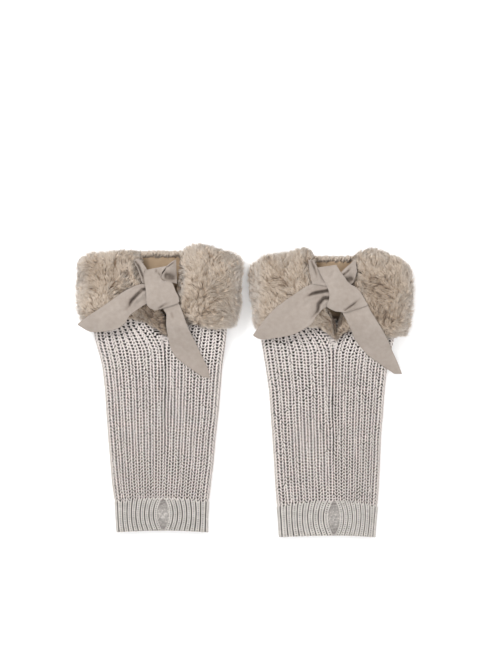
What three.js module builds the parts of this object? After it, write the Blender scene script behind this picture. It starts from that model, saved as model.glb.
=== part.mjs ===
// A pair of knitted leg warmers, laid flat side by side. Millimetres, +Z up.
// X runs across the pair, Y from the ankles to the cuffs, and the underside rests at z = 0.
// Each leg is a tube in half-cardigan knit with a ribbed ankle and a seam down the centre front.
// A band of faux fur goes round the top, open at the front, and a wide ribbon ties its two ends.
import * as THREE from "three";

// Knitted cloth
const KNIT_WALL = 3.2;
const KNIT_GAP = 1;
const KNIT_RISE = 1.6;
const SEAM_DEPTH = 2.4;
const ANKLE_WALL = 2.6;
const ANKLE_RISE = 1.3;
const FOLD_RADIUS = 5.5;
const PILLOW = 1.4;
const RIBS_LEFT = 9.5;
const RIBS_RIGHT = 8.5;
const ANKLE_HEIGHT = 37;
const LENS_HALF = 7.2;
const SEAM_GAP = 0.4;
const LAY_GAP = 0.4;

// How far the fur under the knit lifts it, and where the knit leaves the surface
const LIFT = 10;
const LIFT_FROM = 196;
const LIFT_TO = 236;

// Lining and ribbon cloth
const LINING_THICK = 1;
const RIBBON_THICK = 1.1;

// Each leg has its place, then one table for each piece, a row for each section.
// outline: y above the hem, left and right fold of the knit, x of the seam
// cuff: the band's inner side, from the left front end round the back to the right front end:
//   xb and xt its x at the bottom and top, bend how far the line between them is an S,
//   yb and yt its bottom and top, z its height there, pile how far the fur stands out from it
// ribbons: a and b are the two edges of the cloth, crown how far it bulges between them
const LEFT = {
  name: "left",
  place: [-96.1, -170.5],
  hemArch: 2,
  joinArch: 5,
  notch: { depth: 25, half: 18 },
  outline: [
    { y: 37, l: -61.5, r: 53, seam: -2.5 },
    { y: 56, l: -64.5, r: 55.2, seam: -1.5 },
    { y: 85, l: -67, r: 58.8, seam: -1 },
    { y: 114, l: -69.4, r: 61.2, seam: -0.5 },
    { y: 143, l: -71.6, r: 64.6, seam: 0 },
    { y: 172, l: -73.4, r: 67, seam: 0 },
    { y: 200, l: -76.6, r: 69.2, seam: 0 },
    { y: 216, l: -80.2, r: 71.6, seam: 0 },
    { y: 232, l: -84.4, r: 73.6, seam: 0 },
    { y: 258, l: -88, r: 76, seam: 0 },
  ],
  ankle: [
    { y: 0, l: -58.8, r: 51.6, seam: -2.5 },
    { y: 9, l: -59.6, r: 51.6, seam: -2.5 },
    { y: 20, l: -60, r: 51.8, seam: -2.5 },
    { y: 30, l: -60.6, r: 52.4, seam: -2.5 },
    { y: 37, l: -61.5, r: 53, seam: -2.5 },
  ],
  cuff: [
    { xb: 3, xt: -27, bend: 1, yb: 235, yt: 334, z: 22.8, pile: 6.5 },
    { xb: -2, xt: -32, bend: 1, yb: 237, yt: 339, z: 22.4, pile: 11.5 },
    { xb: -13, xt: -41, bend: 0.8, yb: 244, yt: 341, z: 21.8, pile: 14.5 },
    { xb: -30, xt: -53, bend: 0.4, yb: 254, yt: 340, z: 21.2, pile: 12.5 },
    { xb: -50, xt: -62, bend: 0, yb: 254, yt: 338, z: 21.2, pile: 16 },
    { xb: -68, xt: -76, bend: 0, yb: 252, yt: 337, z: 21.2, pile: 16.5 },
    { xb: -84, xt: -88, bend: 0, yb: 250, yt: 336, z: 20.4, pile: 15 },
    { xb: -92, xt: -96.5, bend: 0, yb: 249, yt: 331, z: 15.2, pile: 12 },
    { xb: -84, xt: -88, bend: 0, yb: 249, yt: 333, z: 9.7, pile: 11 },
    { xb: -60, xt: -62, bend: 0, yb: 250, yt: 335, z: 9.7, pile: 11 },
    { xb: -30, xt: -30, bend: 0, yb: 250, yt: 336, z: 9.7, pile: 11 },
    { xb: 0, xt: 0, bend: 0, yb: 250, yt: 336, z: 9.7, pile: 11 },
    { xb: 28, xt: 28, bend: 0, yb: 250, yt: 336, z: 9.7, pile: 11 },
    { xb: 52, xt: 53, bend: 0, yb: 250, yt: 336, z: 9.7, pile: 11 },
    { xb: 72, xt: 75, bend: 0, yb: 249, yt: 334, z: 9.7, pile: 11 },
    { xb: 78.5, xt: 84, bend: 0, yb: 246, yt: 332, z: 15.2, pile: 11.5 },
    { xb: 72, xt: 75, bend: 0, yb: 244, yt: 339, z: 20.4, pile: 15.5 },
    { xb: 58, xt: 62, bend: 0, yb: 243, yt: 343, z: 21.2, pile: 17.5 },
    { xb: 42, xt: 48, bend: 0, yb: 246, yt: 346, z: 21.2, pile: 18.5 },
    { xb: 28, xt: 36, bend: 0.2, yb: 248, yt: 347, z: 21.2, pile: 16.5 },
    { xb: 16, xt: 26, bend: 0.5, yb: 243, yt: 343, z: 21.8, pile: 13.5 },
    { xb: 7, xt: 18.5, bend: 0.8, yb: 237, yt: 335, z: 22.8, pile: 7.5 },
  ],
  lining: { l: -70, r: 60, yb: 262, yt: 329 },
  rootLeft: [
    { a: [-36.2, 327.1, 26], b: [-30.6, 328.6, 26], crown: 0 },
    { a: [-34.3, 322.2, 30], b: [-25.8, 323, 30], crown: 0.8 },
    { a: [-31.7, 315.6, 33], b: [-21, 316.2, 33], crown: 1.2 },
    { a: [-28.8, 307.2, 34.4], b: [-18, 307.2, 34.4], crown: 1 },
    { a: [-26.4, 299.4, 34.6], b: [-16.8, 297.6, 34.6], crown: 0.6 },
  ],
  rootRight: [
    { a: [-2.4, 313.8, 33], b: [-5.4, 306.6, 33.6], crown: 0.4 },
    { a: [1.2, 317.6, 32.4], b: [-0.6, 302.9, 33.2], crown: 0.8 },
    { a: [5.4, 321, 31.6], b: [4.8, 301, 33], crown: 1.2 },
    { a: [9.6, 324.6, 29.4], b: [10.2, 299.8, 30.5], crown: 1.2 },
    { a: [13.8, 327.6, 26.2], b: [15, 298.8, 27], crown: 0.4 },
  ],
  knot: [
    { a: [-22.2, 315, 34], b: [3, 320, 32.8], crown: 0.4 },
    { a: [-23.6, 308.4, 37], b: [-4.3, 308.9, 34.4], crown: 1.2 },
    { a: [-23.2, 300, 38.6], b: [-1.7, 302.9, 36], crown: 1.8 },
    { a: [-21.8, 291.6, 39.8], b: [8.8, 300, 36.8], crown: 2.4 },
    { a: [-21.1, 283.2, 40.1], b: [13.4, 290.4, 37.4], crown: 2.6 },
    { a: [-20.9, 275.5, 39.4], b: [17.5, 281.3, 37.4], crown: 2.2 },
    { a: [-18, 270.5, 38], b: [15.6, 275.3, 37], crown: 1.4 },
    { a: [-10.8, 266.5, 36.8], b: [-4.2, 268.6, 36.4], crown: 0.4 },
  ],
  tailLeft: [
    { a: [-15, 296, 36.4], b: [-14, 276, 35.4], crown: 0.4 },
    { a: [-24.5, 298.5, 36], b: [-22.5, 274, 35.6], crown: 1 },
    { a: [-36, 295.4, 37.8], b: [-33, 267, 37], crown: 1.4 },
    { a: [-49.5, 288.4, 38.2], b: [-41, 261, 36.6], crown: 1.6 },
    { a: [-63, 278.6, 38], b: [-46.5, 252, 35], crown: 1.8 },
    { a: [-75.6, 270, 37.4], b: [-56, 245, 32.6], crown: 1.8 },
    { a: [-87, 262.6, 36], b: [-69, 242, 30.4], crown: 1.6 },
    { a: [-97, 256, 32.4], b: [-88, 241.4, 27.8], crown: 1 },
    { a: [-104, 250.4, 28.4], b: [-103, 249.2, 28.2], crown: 0 },
  ],
  tailRight: [
    { a: [-2, 279, 38.6], b: [13.5, 283, 37.4], crown: 0.4 },
    { a: [-1, 268.5, 36], b: [18.6, 272.5, 36.4], crown: 0.8 },
    { a: [2.4, 262, 36.6], b: [22, 264, 37.4], crown: 1 },
    { a: [2.4, 249, 34.4], b: [27, 250, 37], crown: 1.4 },
    { a: [4, 236, 26], b: [31.6, 239, 32.6], crown: 1.4 },
    { a: [6.6, 223, 19], b: [38, 226, 22.4], crown: 1.4 },
    { a: [12.5, 211.6, 14.4], b: [45, 211, 14.8], crown: 1.2 },
    { a: [27, 199.6, 11.6], b: [51, 198.6, 11.6], crown: 0.8 },
    { a: [44, 187.6, 10.6], b: [54, 185.4, 10.6], crown: 0 },
  ],
};

const RIGHT = {
  name: "right",
  place: [105.5, -176.5],
  hemArch: 2,
  joinArch: 8,
  notch: { depth: 27, half: 20 },
  outline: [
    { y: 37, l: -67.6, r: 54.6, seam: 1.7 },
    { y: 62, l: -69.6, r: 56.4, seam: 1 },
    { y: 91, l: -71.2, r: 57.8, seam: 0.6 },
    { y: 120, l: -73.2, r: 58.9, seam: 0.4 },
    { y: 149, l: -75.2, r: 61.2, seam: 0 },
    { y: 178, l: -77.2, r: 63.4, seam: 0 },
    { y: 206, l: -81.4, r: 66.4, seam: 0 },
    { y: 221, l: -84, r: 69.4, seam: 0 },
    { y: 236, l: -86.4, r: 73.2, seam: 0 },
    { y: 262, l: -89, r: 77, seam: 0 },
  ],
  ankle: [
    { y: 0, l: -64.8, r: 51.6, seam: 1.7 },
    { y: 9, l: -65.2, r: 52.2, seam: 1.7 },
    { y: 20, l: -65.8, r: 53, seam: 1.7 },
    { y: 30, l: -66.8, r: 54, seam: 1.7 },
    { y: 37, l: -67.6, r: 54.6, seam: 1.7 },
  ],
  cuff: [
    { xb: 1, xt: -21, bend: 1, yb: 238, yt: 336, z: 22.8, pile: 6.5 },
    { xb: -4, xt: -27, bend: 1, yb: 241, yt: 345, z: 22.4, pile: 11.5 },
    { xb: -14, xt: -37, bend: 0.8, yb: 248, yt: 349, z: 21.8, pile: 14.5 },
    { xb: -30, xt: -49, bend: 0.4, yb: 251, yt: 345, z: 21.2, pile: 16 },
    { xb: -50, xt: -62, bend: 0, yb: 250, yt: 342, z: 21.2, pile: 15 },
    { xb: -67, xt: -75, bend: 0, yb: 248, yt: 341, z: 21.2, pile: 16.5 },
    { xb: -80, xt: -84, bend: 0, yb: 247, yt: 339, z: 20.4, pile: 13.5 },
    { xb: -89.6, xt: -90.6, bend: 0, yb: 247, yt: 332, z: 16.6, pile: 6.5 },
    { xb: -90, xt: -94, bend: 0, yb: 249, yt: 330, z: 12.2, pile: 7 },
    { xb: -86, xt: -90, bend: 0, yb: 251, yt: 330, z: 9.6, pile: 9.5 },
    { xb: -60, xt: -62, bend: 0, yb: 254, yt: 334, z: 9.7, pile: 11 },
    { xb: -30, xt: -30, bend: 0, yb: 254, yt: 336, z: 9.7, pile: 11 },
    { xb: 0, xt: 0, bend: 0, yb: 254, yt: 336, z: 9.7, pile: 11 },
    { xb: 28, xt: 28, bend: 0, yb: 254, yt: 336, z: 9.7, pile: 11 },
    { xb: 52, xt: 54, bend: 0, yb: 253, yt: 336, z: 9.7, pile: 11 },
    { xb: 72, xt: 77, bend: 0, yb: 249, yt: 334, z: 9.7, pile: 11 },
    { xb: 84.5, xt: 86, bend: 0, yb: 242, yt: 329, z: 15.2, pile: 10.5 },
    { xb: 72, xt: 77, bend: 0, yb: 239, yt: 337, z: 20.4, pile: 15 },
    { xb: 58, xt: 65, bend: 0, yb: 240, yt: 342, z: 21.2, pile: 16 },
    { xb: 44, xt: 52, bend: 0, yb: 247, yt: 347, z: 21.2, pile: 17 },
    { xb: 30, xt: 40, bend: 0.4, yb: 249, yt: 347, z: 21.2, pile: 15 },
    { xb: 17, xt: 30, bend: 0.7, yb: 245, yt: 344, z: 21.8, pile: 12.5 },
    { xb: 7, xt: 21, bend: 1, yb: 240, yt: 336, z: 22.8, pile: 7.5 },
  ],
  lining: { l: -70, r: 60, yb: 266, yt: 329 },
  rootLeft: [
    { a: [-30.5, 333.1, 26], b: [-24.2, 332.6, 26], crown: 0 },
    { a: [-29.6, 326.4, 30], b: [-19.8, 325.2, 30], crown: 0.8 },
    { a: [-28.6, 318.6, 33], b: [-15.6, 316.8, 33], crown: 1.2 },
    { a: [-27.5, 312.2, 34.2], b: [-12.6, 311.4, 34.2], crown: 1 },
    { a: [-26.7, 307.6, 34.4], b: [-10.4, 307.4, 34.4], crown: 0.6 },
  ],
  rootRight: [
    { a: [7.2, 316.8, 32.6], b: [13.2, 309.6, 33.6], crown: 0.4 },
    { a: [12, 321.6, 31.6], b: [17.4, 305.3, 33.2], crown: 0.8 },
    { a: [16.8, 326, 31.6], b: [21, 304.6, 33], crown: 1.2 },
    { a: [21.6, 330, 29.6], b: [24.6, 309.6, 30.6], crown: 1 },
    { a: [25.8, 332.4, 27], b: [27.4, 319.2, 28], crown: 0.4 },
  ],
  knot: [
    { a: [-19.2, 324, 33.6], b: [3, 327.2, 32.6], crown: 0.4 },
    { a: [-16.2, 316.8, 36.4], b: [7.2, 319.8, 34.6], crown: 1.2 },
    { a: [-12, 308.4, 38.2], b: [11.4, 314.2, 36.2], crown: 1.8 },
    { a: [-7.9, 300, 39.6], b: [18, 305.3, 37.4], crown: 2.2 },
    { a: [-5.8, 292.8, 40.3], b: [26.4, 300, 38.2], crown: 2.6 },
    { a: [-6, 286.2, 40.3], b: [33.1, 292.1, 38.4], crown: 2.6 },
    { a: [-7.9, 280.6, 39.4], b: [37.4, 283.7, 38.2], crown: 2.2 },
    { a: [-7.9, 276.7, 38.4], b: [37.7, 278.4, 37.8], crown: 1.4 },
    { a: [1.2, 271.7, 37], b: [14.4, 270.2, 37], crown: 0.4 },
  ],
  tailLeft: [
    { a: [-2, 301, 38.2], b: [-2, 281, 37.2], crown: 0.4 },
    { a: [-13, 306, 37.8], b: [-8.6, 277.6, 37], crown: 1 },
    { a: [-30, 302.6, 39.6], b: [-20, 268.6, 38.4], crown: 1.6 },
    { a: [-44, 294, 40], b: [-27, 256.6, 36.8], crown: 2 },
    { a: [-60.6, 282.6, 39.8], b: [-46, 245, 33.4], crown: 2 },
    { a: [-74, 271.6, 38.6], b: [-66, 240.4, 30.6], crown: 1.8 },
    { a: [-87, 256.4, 34], b: [-86, 238.4, 28.6], crown: 1 },
    { a: [-96.2, 243.6, 29], b: [-95.4, 242.4, 28.8], crown: 0 },
  ],
  tailRight: [
    { a: [9, 279, 38.4], b: [31.5, 288, 37.4], crown: 0.4 },
    { a: [10.8, 268.8, 36], b: [38.6, 282, 36.6], crown: 0.8 },
    { a: [14.4, 262.6, 36.8], b: [41.6, 275.6, 38], crown: 1 },
    { a: [18.6, 254, 36.4], b: [47.4, 266, 38.4], crown: 1.4 },
    { a: [25, 239.4, 28], b: [54.6, 254.6, 37], crown: 1.6 },
    { a: [34, 227.4, 19], b: [64.6, 238, 27.6], crown: 1.6 },
    { a: [44, 217, 14.6], b: [71.4, 224, 16.4], crown: 1.2 },
    { a: [55, 209.4, 11.8], b: [78, 210.4, 11.6], crown: 0.8 },
    { a: [73.6, 197, 10.6], b: [83.4, 196.6, 9], crown: 0 },
  ],
};

const MATERIALS = {
  knit: new THREE.MeshStandardMaterial({ color: "#cfc5c0", roughness: 0.95, metalness: 0 }),
  rib: new THREE.MeshStandardMaterial({ color: "#cbc6c0", roughness: 0.95, metalness: 0 }),
  fur: new THREE.MeshStandardMaterial({ color: "#bba892", roughness: 1, metalness: 0 }),
  lining: new THREE.MeshStandardMaterial({ color: "#ad9375", roughness: 0.9, metalness: 0 }),
  ribbon: new THREE.MeshStandardMaterial({ color: "#b8aba0", roughness: 0.7, metalness: 0 }),
};

const { lerp, smoothstep, clamp } = THREE.MathUtils;

// A closed surface from shared points, turned to face outwards
function closedGeometry(points, faces) {
  let volume = 0;
  const cross = new THREE.Vector3();
  for (const [a, b, c] of faces) {
    volume += cross.crossVectors(points[b], points[c]).dot(points[a]);
  }
  const index = faces.flatMap(([a, b, c]) => (volume < 0 ? [a, c, b] : [a, b, c]));
  const geometry = new THREE.BufferGeometry().setFromPoints(points);
  geometry.setIndex(index);
  geometry.computeVertexNormals();
  return geometry;
}

// Quads between two closed rings whose points start at indices a and b
function joinRings(faces, a, b, count) {
  for (let i = 0; i < count; i++) {
    const j = (i + 1) % count;
    faces.push([a + i, b + i, b + j], [a + i, b + j, a + j]);
  }
}

// A solid through closed rings of equal count; capEnd adds the faces of one end
function loft(rings, capEnd) {
  const count = rings[0].length;
  const points = rings.flat();
  const faces = [];
  for (let k = 0; k + 1 < rings.length; k++) joinRings(faces, k * count, (k + 1) * count, count);
  capEnd(points, faces, 0, count, false);
  capEnd(points, faces, (rings.length - 1) * count, count, true);
  return closedGeometry(points, faces);
}

// End of a sheet: its ring lists one side, then the other side backwards
function sheetCap(points, faces, start, count, last) {
  for (let i = 0; i + 1 < count / 2; i++) {
    const a = start + i;
    const b = a + 1;
    const c = start + count - 2 - i;
    const d = c + 1;
    if (last) faces.push([a, c, b], [a, d, c]);
    else faces.push([a, b, c], [a, c, d]);
  }
}

// End of a pile band: a low dome over the ring
function domeCap(bulge) {
  return (points, faces, start, count, last) => {
    const ring = points.slice(start, start + count);
    const before = points.slice(last ? start - count : start + count).slice(0, count);
    const middle = ring.reduce((sum, p) => sum.add(p), new THREE.Vector3()).divideScalar(count);
    const inner = before.reduce((sum, p) => sum.add(p), new THREE.Vector3()).divideScalar(count);
    const away = middle.clone().sub(inner).setLength(bulge);
    const tip = points.push(middle.add(away)) - 1;
    for (let i = 0; i < count; i++) {
      const a = start + i;
      const b = start + ((i + 1) % count);
      faces.push(last ? [tip, b, a] : [tip, a, b]);
    }
  };
}

// How far round each point of a closed ring lies, from 0 to 1
function ringShares(ring) {
  const shares = [0];
  ring.forEach((p, i) => shares.push(shares[i] + p.distanceTo(ring[(i + 1) % ring.length])));
  return shares.map((s) => s / shares.at(-1));
}

// The end face of a wall, between an outer and an inner ring that may differ in count
function wallEnd(faces, outer, inner, outerStart, innerStart, last) {
  const [so, si] = [ringShares(outer), ringShares(inner)];
  let i = 0;
  let j = 0;
  while (i < outer.length || j < inner.length) {
    const o = outerStart + (i % outer.length);
    const n = innerStart + (j % inner.length);
    const stepOuter = j === inner.length || (i < outer.length && so[i + 1] <= si[j + 1]);
    const next = stepOuter
      ? outerStart + (++i % outer.length)
      : innerStart + (++j % inner.length);
    faces.push(last ? [n, next, o] : [o, next, n]);
  }
}

// A tube with a plain inner wall: outer and inner rings may differ in count
function tube(outer, inner) {
  const points = [...outer.flat(), ...inner.flat()];
  const faces = [];
  const no = outer[0].length;
  const ni = inner[0].length;
  const innerStart = outer.length * no;
  for (let k = 0; k + 1 < outer.length; k++) {
    joinRings(faces, k * no, (k + 1) * no, no);
    const first = faces.length;
    joinRings(faces, innerStart + k * ni, innerStart + (k + 1) * ni, ni);
    for (let f = first; f < faces.length; f++) faces[f].reverse();
  }
  for (const k of [0, outer.length - 1]) {
    wallEnd(faces, outer[k], inner[k], k * no, innerStart + k * ni, k > 0);
  }
  return closedGeometry(points, faces);
}

// Rows of a table with more rows between them, on smooth curves through the given ones
function smoothRows(rows, steps) {
  const mix = (p, q, r, s, t) =>
    Array.isArray(q)
      ? q.map((_, i) => mix(p[i], q[i], r[i], s[i], t))
      : 0.5 * (2 * q + (r - p) * t + (2 * p - 5 * q + 4 * r - s) * t * t
        + (3 * q - p - 3 * r + s) * t * t * t);
  const out = [];
  for (let k = 0; k + 1 < rows.length; k++) {
    const four = [rows[Math.max(k - 1, 0)], rows[k], rows[k + 1], rows[Math.min(k + 2, rows.length - 1)]];
    for (let i = 0; i < steps; i++) {
      const keys = Object.keys(rows[k]);
      out.push(Object.fromEntries(keys.map((key) => [key, mix(...four.map((row) => row[key]), i / steps)])));
    }
  }
  return [...out, rows.at(-1)];
}

// The knit's underside height where fur lies below it
const liftAt = (y) => LIFT * smoothstep(y, LIFT_FROM, LIFT_TO);

// Half the height of a folded tube at a distance in from its side fold
const foldHeight = (half, inset) => {
  const turn = 1 - clamp(inset / FOLD_RADIUS, 0, 1);
  return half * Math.sqrt(1 - turn * turn);
};

// How far the seam draws the knit's top edge down in a V
function notchDrop(leg, x, y) {
  const top = leg.outline.at(-1).y;
  const reach = smoothstep(y, top - 86, top) * clamp(1 - Math.abs(x) / leg.notch.half, 0, 1);
  return leg.notch.depth * reach;
}

// The knit and the ankle rib meet on an arched line
function arch(row, x, rise) {
  const t = x < 0 ? x / row.l : x / row.r;
  return rise * (1 - t * t);
}

// Where ribs stand across the front: q counts ribs from each side fold to the middle
function ribStations() {
  const side = (count, from) => {
    const list = [{ side: from, q: 0, crest: 1 }];
    for (let k = 0.5; k < count; k++) {
      list.push({ side: from, q: k - 0.22, crest: 1 }, { side: from, q: k, crest: 0 });
      list.push({ side: from, q: k + 0.22, crest: 1 });
    }
    return list.filter((s) => s.q < count - 0.3);
  };
  return { left: side(RIBS_LEFT, "l"), right: side(RIBS_RIGHT, "r").reverse() };
}

// Outer ring of a knitted section; middle gives the points between the two sets of ribs
function knitRing(row, size, yOf, yBack, middle) {
  const { wall, rise } = size;
  const half = (2 * wall + KNIT_GAP) / 2;
  const count = { l: RIBS_LEFT, r: RIBS_RIGHT };
  const edge = { l: row.l, r: row.r };
  const inwards = { l: 1, r: -1 };
  const at = (x, inset, above) => {
    const y = yOf(x);
    const share = clamp((x - row.seam) / (x < row.seam ? row.l - row.seam : row.r - row.seam), 0, 1);
    const pillow = PILLOW * Math.sin(Math.PI * share) * (1 - share * 0.4);
    return new THREE.Vector3(x, y, liftAt(y) + half + foldHeight(half + above + pillow, inset));
  };
  const stations = ribStations();
  const ribPoint = ({ side, q, crest }) => {
    const inset = (q / count[side]) * Math.abs(middle.edge[side] - edge[side]);
    return at(edge[side] + inwards[side] * inset, inset, crest * rise);
  };
  const front = stations.left.map(ribPoint);
  for (const m of middle.points) front.push(at(m.x, FOLD_RADIUS, m.above));
  front.push(...stations.right.map(ribPoint));
  const under = [1, 2, 3, 4, 5].map((i) => i / 6).map((t) => lerp(row.r - FOLD_RADIUS, row.l + FOLD_RADIUS, t));
  const low = (x, z) => new THREE.Vector3(x, yBack(x), liftAt(yBack(x)) + z);
  return [
    ...front,
    low(row.r - 1, half * 0.45), low(row.r - 3, 0.5), low(row.r - FOLD_RADIUS, 0),
    ...under.map((x) => low(x, 0)),
    low(row.l + FOLD_RADIUS, 0), low(row.l + 3, 0.5), low(row.l + 1, half * 0.45),
  ];
}

// Plain inner ring of the same section
function plainRing(row, wall, yOf, yBack) {
  const l = row.l + wall;
  const r = row.r - wall;
  const shares = [0.04, 0.25, 0.45, 0.65, 0.85];
  const front = (x) => new THREE.Vector3(x, yOf(x), liftAt(yOf(x)) + wall + KNIT_GAP);
  const back = (x, z) => new THREE.Vector3(x, yBack(x), liftAt(yBack(x)) + z);
  return [
    back(l, wall + KNIT_GAP / 2),
    ...shares.map((t) => front(lerp(l, row.seam, t))),
    front(row.seam),
    ...[...shares].reverse().map((t) => front(lerp(r, row.seam, t))),
    back(r, wall + KNIT_GAP / 2),
    ...[0.04, 0.2, 0.35, 0.5, 0.65, 0.8, 0.96].map((t) => back(lerp(r, l, t), wall)),
  ];
}

function legKnit(leg) {
  const bottom = leg.outline[0].y;
  const outer = [];
  const inner = [];
  for (const row of leg.outline) {
    const near = 1 - smoothstep(row.y, bottom, bottom + 60);
    const yBack = (x) => row.y + arch(row, x, leg.joinArch) * near;
    const yOf = (x) => yBack(x) - notchDrop(leg, x - row.seam, row.y);
    const middle = {
      edge: { l: row.seam, r: row.seam },
      points: [{ x: row.seam - 1.2, above: 0.4 }, { x: row.seam, above: KNIT_RISE - SEAM_DEPTH },
        { x: row.seam + 1.2, above: 0.4 }],
    };
    outer.push(knitRing(row, { wall: KNIT_WALL, rise: KNIT_RISE }, yOf, yBack, middle));
    inner.push(plainRing(row, KNIT_WALL, yOf, yBack));
  }
  return tube(outer, inner);
}

function ankleRib(leg) {
  const outer = [];
  const inner = [];
  const size = { wall: ANKLE_WALL, rise: ANKLE_RISE };
  for (const row of leg.ankle) {
    const t = row.y / ANKLE_HEIGHT;
    const yOf = (x) =>
      row.y + arch(row, x, lerp(leg.hemArch, leg.joinArch, t)) - (t === 1 ? SEAM_GAP : 0);
    const lens = LENS_HALF * Math.sin(Math.PI * clamp(t, 0.06, 0.94)) ** 0.7;
    const middle = {
      edge: { l: row.seam - lens, r: row.seam + lens },
      points: [-0.85, -0.45, 0, 0.45, 0.85].map((s) => ({
        x: row.seam + s * lens,
        above: Math.abs(s) > 0.6 ? 0 : ANKLE_RISE * 0.8,
      })),
    };
    outer.push(knitRing(row, size, yOf, yOf, middle));
    inner.push(plainRing(row, ANKLE_WALL, yOf, yOf));
  }
  return tube(outer, inner);
}

// Outline of the pile band across its width: v from bottom to top, h how far the fur stands out
const PILE_OUTLINE = [
  { v: 0, h: 0.22 }, { v: 0.03, h: 0.46 }, { v: 0.11, h: 0.74 }, { v: 0.25, h: 0.93 },
  { v: 0.42, h: 1 }, { v: 0.6, h: 1 }, { v: 0.76, h: 0.98 }, { v: 0.89, h: 0.86 },
  { v: 0.97, h: 0.62 }, { v: 1, h: 0.34 },
  { v: 0.97, h: 0 }, { v: 0.66, h: 0 }, { v: 0.34, h: 0 }, { v: 0.03, h: 0 },
];

// Soft uneven lumps of the fur along the band, at row k and height v
const furLump = (k, v) =>
  1 + 0.07 * Math.sin(1.9 * k + 4.5 * v) + 0.05 * Math.sin(3.1 * k - 8 * v + 1);

function furCuff(leg) {
  const steps = 2;
  const rows = smoothRows(leg.cuff, steps);
  const rings = rows.map((row, k) => {
    const next = rows[Math.min(k + 1, rows.length - 1)];
    const last = rows[Math.max(k - 1, 0)];
    const tangent = new THREE.Vector2(next.xb + next.xt - last.xb - last.xt, 2 * (next.z - last.z));
    tangent.normalize();
    return PILE_OUTLINE.map(({ v, h }) => {
      const out = h * row.pile * (h > 0 ? furLump(k / steps, v) : 1);
      const x = lerp(row.xb, row.xt, lerp(v, smoothstep(v, 0.12, 0.75), row.bend));
      return new THREE.Vector3(
        x + tangent.y * out,
        lerp(row.yb, row.yt, v),
        Math.max(0, row.z - tangent.x * out),
      );
    });
  });
  return loft(rings, domeCap(2.5));
}

// The smooth back of the fur cloth, inside the band behind the opening
function cuffLining(leg) {
  const { l, r, yb, yt } = leg.lining;
  const z = leg.cuff[11].z + 0.3;
  const rings = [0, 0.25, 0.5, 0.75, 1].map((t) => {
    const x = lerp(l, r, t);
    const heights = [0, 0.35, 0.7, 1].map((s) => lerp(yb, yt, s));
    const low = heights.map((y) => new THREE.Vector3(x, y, z));
    const high = heights.map((y) => new THREE.Vector3(x, y, z + LINING_THICK)).reverse();
    return [...low, ...high];
  });
  return loft(rings, sheetCap);
}

// Height of the uppermost surface below a point, among the pieces given
function heightBelow(pieces, x, y) {
  const ray = new THREE.Raycaster(new THREE.Vector3(x, y, 100), new THREE.Vector3(0, 0, -1));
  const hits = ray.intersectObjects(pieces);
  return hits.length ? hits[0].point.z : 0;
}

// A strip of ribbon through rows of edge points, lying on the pieces below it
function ribbon(rows, below, reach, across = 9, steps = 3) {
  const smooth = smoothRows(rows, steps);
  const grid = smooth.map((row) => {
    const a = new THREE.Vector3(...row.a);
    const b = new THREE.Vector3(...row.b);
    return Array.from({ length: across }, (_, i) => {
      const s = i / (across - 1);
      const p = a.clone().lerp(b, s);
      p.z += row.crown * Math.sin(Math.PI * s);
      const under = [[0, 0], [reach, 0], [-reach, 0], [0, reach], [0, -reach]].map(([dx, dy]) =>
        heightBelow(below, p.x + dx, p.y + dy));
      p.z = Math.max(p.z, Math.max(...under) + LAY_GAP + RIBBON_THICK);
      return p;
    });
  });
  // Lifted points carry their neighbours, as cloth does
  for (let pass = 0; pass < 3; pass++) {
    const z = grid.map((line) => line.map((p) => p.z));
    grid.forEach((line, k) => line.forEach((p, i) => {
      const near = [z[k - 1]?.[i], z[k + 1]?.[i], z[k][i - 1], z[k][i + 1]].filter((v) => v !== undefined);
      p.z = Math.max(z[k][i], near.reduce((sum, v) => sum + v, 0) / near.length);
    }));
  }
  const rings = grid.map((line, k) => {
    const low = line.map((p, i) => {
      const along = grid[Math.min(k + 1, grid.length - 1)][i].clone()
        .sub(grid[Math.max(k - 1, 0)][i]);
      const aside = line[Math.min(i + 1, across - 1)].clone().sub(line[Math.max(i - 1, 0)]);
      const normal = new THREE.Vector3().crossVectors(aside, along).normalize();
      if (normal.z < 0) normal.negate();
      return p.clone().addScaledVector(normal, -RIBBON_THICK);
    });
    return [...line, ...low.reverse()];
  });
  return loft(rings, sheetCap);
}

function legWarmer(leg) {
  const group = new THREE.Group();
  const add = (name, geometry, material) => {
    const mesh = new THREE.Mesh(geometry, material);
    mesh.name = `${name}_${leg.name}`;
    group.add(mesh);
    return mesh;
  };
  const knit = add("leg_knit", legKnit(leg), MATERIALS.knit);
  add("ankle_rib", ankleRib(leg), MATERIALS.rib);
  const fur = add("fur_cuff", furCuff(leg), MATERIALS.fur);
  add("cuff_lining", cuffLining(leg), MATERIALS.lining);
  const bed = [knit, fur];
  const lay = (name, rows, reach) => {
    bed.push(add(name, ribbon(rows, [...bed], reach), MATERIALS.ribbon));
  };
  lay("tie_tail_l", leg.tailLeft, 1.5);
  lay("tie_tail_r", leg.tailRight, 1.5);
  lay("tie_root_l", leg.rootLeft, 1.2);
  lay("tie_root_r", leg.rootRight, 1.2);
  lay("tie_knot", leg.knot, 2.4);
  group.position.set(leg.place[0], leg.place[1], 0);
  return group;
}

const pair = new THREE.Group();
pair.add(legWarmer(LEFT), legWarmer(RIGHT));

export default pair;
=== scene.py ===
# A pair of knitted leg warmers with fur cuffs and ribbon ties, laid flat on a pale surface.
import math

import bpy
import numpy as np
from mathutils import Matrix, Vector
from mathutils.bvhtree import BVHTree


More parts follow.
